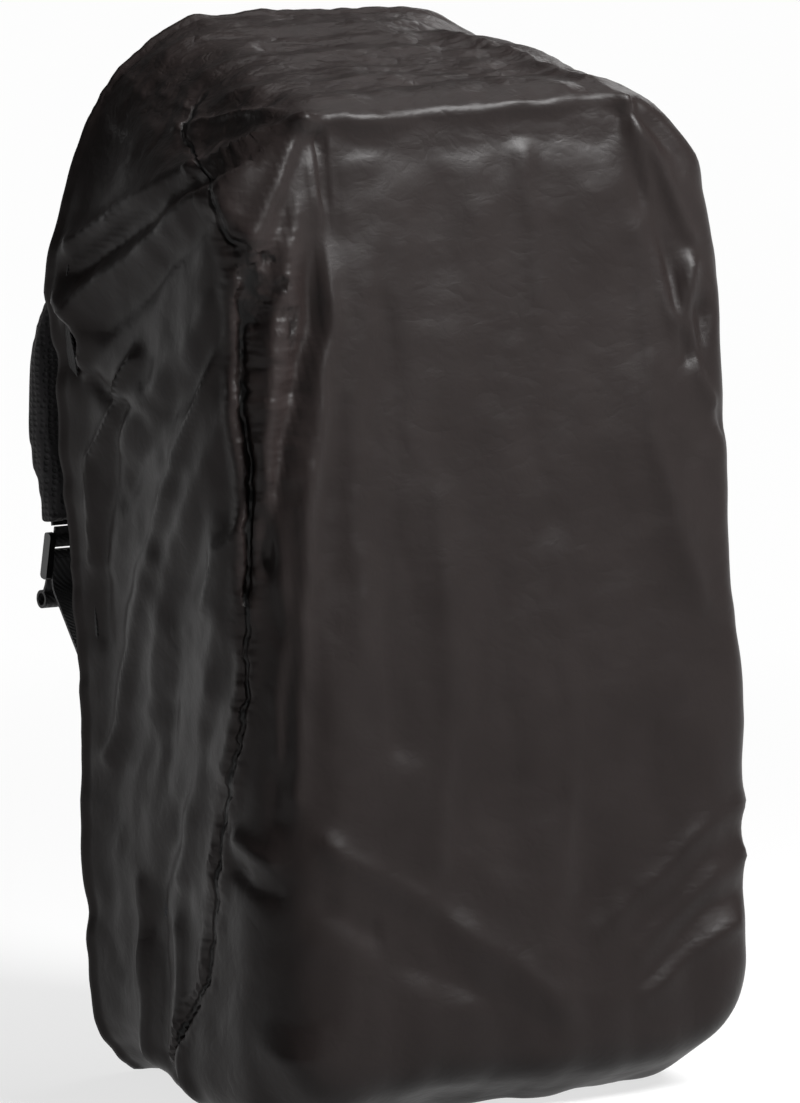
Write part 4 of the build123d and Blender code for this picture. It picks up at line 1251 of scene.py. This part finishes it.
    def _roll_hem(self, mesh: bpy.types.Mesh) -> None:
        """Turns the rear edge inwards in a soft roll.

        Args:
            mesh: the cover's mesh, which is changed.
        """
        bm = bmesh.new()
        bm.from_mesh(mesh)
        rim = [e for e in bm.edges if e.is_boundary]
        for along, outward in self.hem_roll:
            grown = bmesh.ops.extrude_edge_only(bm, edges=rim)["geom"]
            fresh = [g for g in grown if isinstance(g, bmesh.types.BMVert)]
            rim = [g for g in grown if isinstance(g, bmesh.types.BMEdge) and g.is_boundary]
            for vert in fresh:
                step = Vector((0, along * self.hem_spread * MM, 0))
                vert.co += step - self._inward(vert.co) * outward * MM
                vert.co.z = max(vert.co.z, self.hem_room * MM)
        for face in bm.faces:
            face.smooth = True
        bm.to_mesh(mesh)
        bm.free()


# ---------------------------------------------------------------- soft pieces
SETTLING_FRAMES = 20  # in which the cushions swell
FLAT_ANGLE = 4.0  # in degrees, below which two faces count as one
EDGE_ANGLE = 38.0  # in degrees, above which an edge counts as sharp
STITCH_STEP = 3.0  # in millimetres, as the two below
STITCH_DEPTH = 1.0
STITCH_WIDTH = 1.6


@dataclass
class SoftPiece:
    """A stuffed or foam piece that stands for one CAD node."""

    node: str
    body: str
    slot: str
    voxel_mm: float
    cap_mm: float
    fill: float
    pressure: float = 4.0
    shrink_mm: float = 0.6
    seam_mm: float = 0.0
    gives: bool = False  # to the cover that presses on it

    def start(self, frame: Dict[str, Any]) -> None:
        """Copies the CAD solid and remeshes it, a little smaller.
        """
        bm = merged(frame, [self.node])
        flat = bm.copy()
        bmesh.ops.dissolve_limit(
            flat, angle_limit=math.radians(FLAT_ANGLE), verts=flat.verts, edges=flat.edges
        )
        self.edges = [
            (e.verts[0].co.copy(), e.verts[1].co.copy())
            for e in flat.edges
            if len(e.link_faces) == 2 and e.calc_face_angle(0) > math.radians(EDGE_ANGLE)
        ]
        flat.free()
        self.piece = to_object(bm, self.node + "_soft", FINISH_OF_SLOT[self.slot])
        self.piece.data.update()
        places = coordinates(self.piece.data) - normals(self.piece.data) * self.shrink_mm * MM
        set_coordinates(self.piece.data, places)
        grid = self.piece.modifiers.new("remesh", "REMESH")
        grid.mode = "VOXEL"
        grid.voxel_size = self.voxel_mm * MM
        grid.use_smooth_shade = True
        apply_modifiers(self.piece)
        self.rest = coordinates(self.piece.data)
        cloth = self.piece.modifiers.new("cloth", "CLOTH")
        cloth.settings.use_pressure = True
        cloth.settings.uniform_pressure_force = self.pressure
        cloth.settings.effector_weights.gravity = 0
        cloth.settings.quality = 4
        cloth.point_cache.frame_end = SETTLING_FRAMES

    def finish(self) -> bpy.types.Object:
        """Takes the simulated shape, caps it, sews it and puts it on its body.

        Returns:
            The finished piece.
        """
        graph = bpy.context.evaluated_depsgraph_get()
        swollen = coordinates(self.piece.evaluated_get(graph).data)
        self.piece.modifiers.clear()
        move = swollen - self.rest
        size = np.linalg.norm(move, axis=1)
        keep = np.minimum(1, self.cap_mm * MM / np.maximum(size, 1e-9))
        set_coordinates(self.piece.data, self.rest + move * keep[:, None])
        self._relax()
        if self.gives:
            set_coordinates(self.piece.data, slackened(coordinates(self.piece.data) / MM) * MM)
        if self.seam_mm:
            self._sew()
        add_levels(self.piece)
        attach(self.piece, self.body)
        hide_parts(self.node)
        log.info("%s: %d faces", self.piece.name, len(self.piece.data.polygons))
        return self.piece

    def _relax(self) -> None:
        """Smooths away the steps that the remesh leaves."""
        bm = bmesh.new()
        bm.from_mesh(self.piece.data)
        relaxed(bm, bm.verts, 2)
        bm.to_mesh(self.piece.data)
        bm.free()

    def _samples(self) -> List[Vector]:
        """Walks along the solid's sharp edges.

        Returns:
            The points, one for each step of the stitching.
        """
        found = []
        for a, b in self.edges:
            count = max(1, round((b - a).length / (STITCH_STEP * MM)))
            found += [a.lerp(b, i / count) for i in range(count + 1)]
        return found

    def _sew(self) -> None:
        """Presses a line of stitching into the face, just inside the piece's edges."""
        samples = self._samples()
        if not samples:
            return
        tree = KDTree(len(samples))
        for index, sample in enumerate(samples):
            tree.insert(sample, index)
        tree.balance()
        mesh = self.piece.data
        places = coordinates(mesh)
        gaps = np.array([tree.find(Vector(p))[2] for p in places]) / MM
        depth = STITCH_DEPTH * bell(gaps - self.seam_mm, STITCH_WIDTH)
        set_coordinates(mesh, places - normals(mesh) * depth[:, None] * MM)


@dataclass
class Piping:
    """A cord sewn into the edges of a soft bag, which follows its sharpest edges."""

    radius_mm: float = 1.4
    step_mm: float = 8.0
    joint_mm: float = 0.4  # the ends of two edges that are nearer than this are joined
    raised: float = 0.3  # how far its middle lies outside the cloth, as a share of the radius

    def build(self, part: SoftPiece) -> Optional[bpy.types.Object]:
        """Makes the piping of one soft piece.

        Args:
            part: the finished soft piece.

        Returns:
            The piping's object, or None where the piece has no sharp edges.
        """
        graph = bpy.context.evaluated_depsgraph_get()
        tree = BVHTree.FromObject(part.piece, graph)
        bm = bmesh.new()
        for a, b in part.edges:
            count = max(1, round((b - a).length / (self.step_mm * MM)))
            verts = [bm.verts.new(a.lerp(b, i / count)) for i in range(count + 1)]
            for first, second in zip(verts, verts[1:]):
                bm.edges.new((first, second))
        bmesh.ops.remove_doubles(bm, verts=bm.verts, dist=self.joint_mm * MM)
        for vert in bm.verts:
            place, normal = tree.find_nearest(vert.co)[:2]
            if place is not None:
                vert.co = place + normal * self.radius_mm * self.raised * MM
        if not bm.edges:
            bm.free()
            return None
        name = part.node + "_piping"
        mesh = bpy.data.meshes.new(name)
        bm.to_mesh(mesh)
        bm.free()
        line = linked(name, mesh)
        bpy.context.view_layer.objects.active = line
        for other in bpy.context.selected_objects:
            other.select_set(False)
        line.select_set(True)
        bpy.ops.object.convert(target="CURVE")
        line.data.bevel_depth = self.radius_mm * MM
        line.data.bevel_resolution = 1
        line.data.use_fill_caps = True
        bpy.ops.object.convert(target="MESH")
        line.data.materials.clear()
        line.data.materials.append(WEBBING.material())
        for polygon in line.data.polygons:
            polygon.use_smooth = True
        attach(line, part.body)
        log.info("%s: %d faces", name, len(line.data.polygons))
        return line


@dataclass
class Pack:
    """The soft pieces of the bag under the cover: compartments, lid, pockets, back padding and shoulder
    straps; its boot is built on its own.
    """

    soft: Tuple[SoftPiece, ...] = (
        SoftPiece("main_compartment", "pack", "pack_nylon", 8, 4, 0.8, shrink_mm=3.0),
        SoftPiece("top_lid", "pack", "pack_nylon", 7, 2.5, 0.8, shrink_mm=3.5),
        SoftPiece("front_pocket", "pack", "pack_nylon", 7, 3, 0.7, shrink_mm=3.0),
        SoftPiece("side_pocket_left", "pack", "pack_nylon", 3, 1.5, 0.5, gives=True),
        SoftPiece("side_pocket_right", "pack", "pack_nylon", 3, 1.5, 0.5, gives=True),
        SoftPiece("back_board", "pack", "board_foam", 4, 0.6, 0.9, pressure=1.0, shrink_mm=0.3),
        SoftPiece("back_pad_left", "pack", "air_mesh", 2.6, 2.0, 0.6, seam_mm=4),
        SoftPiece("back_pad_right", "pack", "air_mesh", 2.6, 2.0, 0.6, seam_mm=4),
        SoftPiece("lumbar_pad", "pack", "air_mesh", 2.6, 2.0, 0.6, seam_mm=4),
        SoftPiece("shoulder_strap_left", "harness", "air_mesh", 2.8, 2.0, 0.7, seam_mm=5),
        SoftPiece("shoulder_strap_right", "harness", "air_mesh", 2.8, 2.0, 0.7, seam_mm=5),
    )
    piped: Tuple[str, ...] = ("main_compartment", "top_lid", "front_pocket")

    def build(self, frame: Dict[str, Any]) -> None:
        """Simulates all the soft pieces together, then finishes each one.
        """
        for part in self.soft:
            part.start(frame)
        for step in range(1, SETTLING_FRAMES + 1):
            bpy.context.scene.frame_set(step)
        for part in self.soft:
            part.finish()
        bpy.context.scene.frame_set(1)
        piping = Piping()
        for part in self.soft:
            if part.node in self.piped:
                piping.build(part)


@dataclass
class Boot:
    """The coated fabric boot round the pack's base, whose thin wall is kept as cut."""

    node: str = "base_boot"
    edge_mm: float = 9.0
    ripple: Ripple = Ripple(0.35, 22, 12.0)

    def build(self, frame: Dict[str, Any]) -> bpy.types.Object:
        """Copies the boot and lets its cloth ripple a little.


        Returns:
            The boot's object.
        """
        form = divided(merged(frame, [self.node]), self.edge_mm)
        piece = to_object(form, "base_boot_cloth", BOOT_CLOTH, smooth=False)
        places = coordinates(piece.data) / MM
        lift = self.ripple.wave(places)
        set_coordinates(piece.data, slackened(places + normals(piece.data) * lift[:, None]) * MM)
        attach(piece, "pack")
        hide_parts(self.node)
        log.info("%s: %d faces", piece.name, len(piece.data.polygons))
        return piece


@dataclass
class HemElastic:
    """The elastic in the cover's hem, which lies in the same curves as the cloth."""

    node: str = "hem_elastic"
    edge_mm: float = 10.0
    inward_mm: float = 1.2
    middle_mm: float = 280.0  # height of the middle of the cover's open back
    turning_mm: float = 20.0  # within this of the middle, it moves inwards less

    def build(self, frame: Dict[str, Any]) -> bpy.types.Object:
        """Copies the elastic and moves it with the cover's slack.


        Returns:
            The elastic's object.
        """
        piece = to_object(divided(merged(frame, [self.node]), self.edge_mm), "hem_elastic_band", ELASTIC)
        places = coordinates(piece.data) / MM
        places[:, 0] -= np.clip(places[:, 0] / self.turning_mm, -1, 1) * self.inward_mm
        places[:, 2] -= np.clip((places[:, 2] - self.middle_mm) / self.turning_mm, -1, 1) * self.inward_mm
        set_coordinates(piece.data, slackened(places) * MM)
        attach(piece, "rain_cover")
        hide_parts(self.node)
        log.info("%s: %d faces", piece.name, len(piece.data.polygons))
        return piece


@dataclass
class LowerWebbing:
    """The lower webbings between the pack, the swinging harness and the tilting lock, each cut in two at a
    parting height.
    """

    cuts: int = 30
    flat_degrees: float = 1.0  # below which two faces count as one
    fixed_mm: float = 100.0
    parting_mm: float = 215.0
    locked_mm: float = 252.0

    def build(self, frame: Dict[str, Any]) -> None:
        """Copies each webbing, gives it loops along its height, and cuts it in two at the parting, closing
        each half.
        """
        for side in ("left", "right"):
            name = "lower_webbing_" + side
            bm = merged(frame, [name])
            low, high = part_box(name)
            flat = math.radians(self.flat_degrees)
            bmesh.ops.dissolve_limit(bm, angle_limit=flat, verts=bm.verts, edges=bm.edges)
            for index in range(1, self.cuts):
                cut_at(bm, (low.z + (high.z - low.z) * index / self.cuts) / MM)
            lower = self._part(bm, name, "_woven", above=False)
            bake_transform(lower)
            upper = self._part(bm, name, "_woven_top", above=True)
            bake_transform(upper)
            bm.free()

    def _part(self, bm: bmesh.types.BMesh, name: str, ending: str, above: bool) -> bpy.types.Object:
        """Makes the piece of webbing on one side of the parting.

        Args:
            bm: the whole webbing.
            name: the CAD node that it stands for.
            ending: what the piece's name gets after the node's.
            above: whether to keep what lies above the parting.

        Returns:
            The piece, closed at the parting.
        """
        half = bm.copy()
        cut_at(half, self.parting_mm, clear_inner=above, clear_outer=not above)
        bmesh.ops.holes_fill(half, edges=[e for e in half.edges if e.is_boundary])
        bmesh.ops.recalc_face_normals(half, faces=half.faces)
        piece = to_object(half, name + ending, WEBBING, smooth=False)
        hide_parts(name)
        log.info("%s: %d faces", piece.name, len(piece.data.polygons))
        return piece


class Hardware:
    """CAD pieces whose shape is right, which only need their finish."""

    def dress(self, frame: Dict[str, Any]) -> None:
        """Gives every carried-over CAD node the finish of its material slot.
        """
        slots = {row["node"]: row["material_slot"] for row in frame["record"]["subparts"]}
        for name, node in sorted(frame["nodes"].items()):
            material = FINISH_OF_SLOT[slots[name]].material()
            node.data.materials.clear()
            node.data.materials.append(material)
        log.info("hardware: %d nodes dressed", len(frame["nodes"]))


# ---------------------------------------------------------------- studio
@dataclass(frozen=True)
class Lamp:
    """One square area lamp, in metres and watts."""

    name: str
    place: Point
    size: float
    power: float

    def build(self, target: Point) -> None:
        """Adds the lamp.

        Args:
            target: where it points.
        """
        data = bpy.data.lights.new(self.name, "AREA")
        data.shape = "SQUARE"
        data.size = self.size
        data.energy = self.power
        made = linked(self.name, data)
        made.location = self.place
        aim = Vector(target) - Vector(self.place)
        made.rotation_euler = aim.to_track_quat("-Z", "Y").to_euler()


@dataclass
class Studio:
    """Pale floor, soft lamps and the camera, in metres and degrees."""

    azimuth: float = -32.0
    elevation: float = 8.0
    distance: float = 7.0
    target: Point = (0.0, 0.0, 0.28)
    sensor: float = 36.0  # its longer side, in millimetres
    focal_share: float = 11.868  # focal length over the sensor's longer side
    clip_end: float = 200.0
    off_right: float = -0.0137
    off_up: float = 0.0077
    floor_size: float = 60.0
    floor_drop: float = 0.0005  # below the ground, so that the two don't coincide
    floor_tone: str = "#f6f6f6"
    floor_bounce: str = "#4c4c4c"
    floor_roughness: Tuple[float, float] = (0.85, 0.95)
    floor_grain: float = 30.0
    glow_reach: Tuple[float, float] = (0.3, 1.6)  # from the middle, where the floor's glow grows
    glow_share: Tuple[float, float] = (0.72, 0.98)
    backdrop_rise: Tuple[float, float] = (0.07, 0.11)  # height over distance where the white backdrop ends
    room_light: float = 0.13
    lights: Tuple[Lamp, ...] = (
        Lamp("key", (0.7, -1.1, 1.45), 0.6, 55.0),
        Lamp("top", (0.6, 0.2, 2.3), 1.1, 9.0),
        Lamp("rim", (1.9, 1.4, 1.5), 0.8, 7.0),
        Lamp("left_fill", (-2.2, -1.4, 1.9), 0.5, 1.0),
    )

    def camera(self) -> None:
        """Places the camera at the viewing angle, aimed beside the middle for the framing."""
        a, e = math.radians(self.azimuth), math.radians(self.elevation)
        back = Vector((math.sin(a) * math.cos(e), -math.cos(a) * math.cos(e), math.sin(e)))
        right = Vector((math.cos(a), math.sin(a), 0))
        up = back.cross(right)
        data = bpy.data.cameras.new("camera")
        data.sensor_width = self.sensor
        data.lens = self.sensor * self.focal_share
        data.clip_end = self.clip_end
        made = linked("camera", data)
        aside = right * self.off_right + up * self.off_up
        made.location = Vector(self.target) + aside + back * self.distance
        made.rotation_euler = Matrix((right, up, back)).transposed().to_euler()
        bpy.context.scene.camera = made

    def _seen(self, tree: bpy.types.NodeTree) -> bpy.types.NodeSocket:
        """Adds the share of rays that look at the background: from the camera, in gloss and through glass.

        Args:
            tree: the material's or world's node tree.

        Returns:
            The socket of that share.
        """
        rays = add_node(tree, "ShaderNodeLightPath").outputs
        settings = {"operation": "ADD", "use_clamp": True}
        either = add_node(
            tree, "ShaderNodeMath", settings, {0: rays["Is Camera Ray"], 1: rays["Is Glossy Ray"]}
        ).outputs[0]
        return add_node(
            tree, "ShaderNodeMath", settings, {0: either, 1: rays["Is Transmission Ray"]}
        ).outputs[0]

    def floor(self) -> None:
        """Adds a plain floor that stays near white and keeps the object's shadow."""
        bm = bmesh.new()
        bmesh.ops.create_grid(bm, x_segments=1, y_segments=1, size=self.floor_size / 2)
        mesh = bpy.data.meshes.new("floor")
        bm.to_mesh(mesh)
        bm.free()
        made = linked("floor", mesh)
        made.location.z = -self.floor_drop
        mesh.materials.append(self._floor_paint())

    def _floor_paint(self) -> bpy.types.Material:
        """Makes dull paint that glows where it is looked at.

        Returns:
            The floor's material.
        """
        material = bpy.data.materials.new("painted_floor")
        material.use_nodes = True
        tree = material.node_tree
        tree.nodes.clear()
        seen = self._seen(tree)
        grain = add_node(tree, "ShaderNodeTexNoise", inputs={"Scale": self.floor_grain}).outputs["Fac"]
        rough = ranged(tree, grain, (0.0, 1.0), *self.floor_roughness)
        tone = blended(tree, seen, linear(self.floor_bounce), linear(self.floor_tone))
        paint = add_node(tree, "ShaderNodeBsdfPrincipled", inputs={"Base Color": tone, "Roughness": rough})
        paint.inputs["Specular IOR Level"].default_value = 0.0
        glow = add_node(tree, "ShaderNodeEmission", inputs={"Color": (1, 1, 1, 1), "Strength": 1.0})
        place = add_node(tree, "ShaderNodeTexCoord").outputs["Object"]
        away = add_node(tree, "ShaderNodeVectorMath", {"operation": "LENGTH"}, {0: place}).outputs["Value"]
        share = calc(tree, "MULTIPLY", seen, ranged(tree, away, self.glow_reach, *self.glow_share))
        mixed = add_node(
            tree, "ShaderNodeMixShader", inputs={0: share, 1: paint.outputs[0], 2: glow.outputs[0]}
        )
        add_node(tree, "ShaderNodeOutputMaterial", inputs={"Surface": mixed.outputs[0]})
        return material

    def world(self) -> None:
        """Adds the room's weak light, and the white backdrop that shows low down."""
        made = bpy.data.worlds.new("studio")
        bpy.context.scene.world = made
        made.use_nodes = True
        tree = made.node_tree
        tree.nodes.clear()
        seen = self._seen(tree)
        toward = add_node(tree, "ShaderNodeTexCoord").outputs["Generated"]
        height = add_node(tree, "ShaderNodeSeparateXYZ", inputs={0: toward}).outputs[2]
        share = calc(tree, "MULTIPLY", seen, ranged(tree, height, self.backdrop_rise, 1.0, 0.0))
        room = add_node(
            tree, "ShaderNodeBackground", inputs={"Color": (1, 1, 1, 1), "Strength": self.room_light}
        )
        white = add_node(tree, "ShaderNodeBackground", inputs={"Color": (1, 1, 1, 1), "Strength": 1.0})
        mixed = add_node(
            tree, "ShaderNodeMixShader", inputs={0: share, 1: room.outputs[0], 2: white.outputs[0]}
        )
        add_node(tree, "ShaderNodeOutputWorld", inputs={"Surface": mixed.outputs[0]})

    def build(self) -> None:
        """Adds everything and leaves the view plain."""
        self.camera()
        self.floor()
        for lamp in self.lights:
            lamp.build(self.target)
        self.world()
        bpy.context.scene.view_settings.view_transform = "Standard"


def main() -> None:
    """Builds every sub-assembly in order."""
    logging.basicConfig(level=logging.INFO, format="%(name)s: %(message)s")
    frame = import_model()
    Studio().build()
    Hardware().dress(frame)
    Pack().build(frame)
    Boot().build(frame)
    LowerWebbing().build(frame)
    RainCover().build(frame)
    HemElastic().build(frame)
    bpy.context.view_layer.update()


if __name__ == "__main__":
    main()
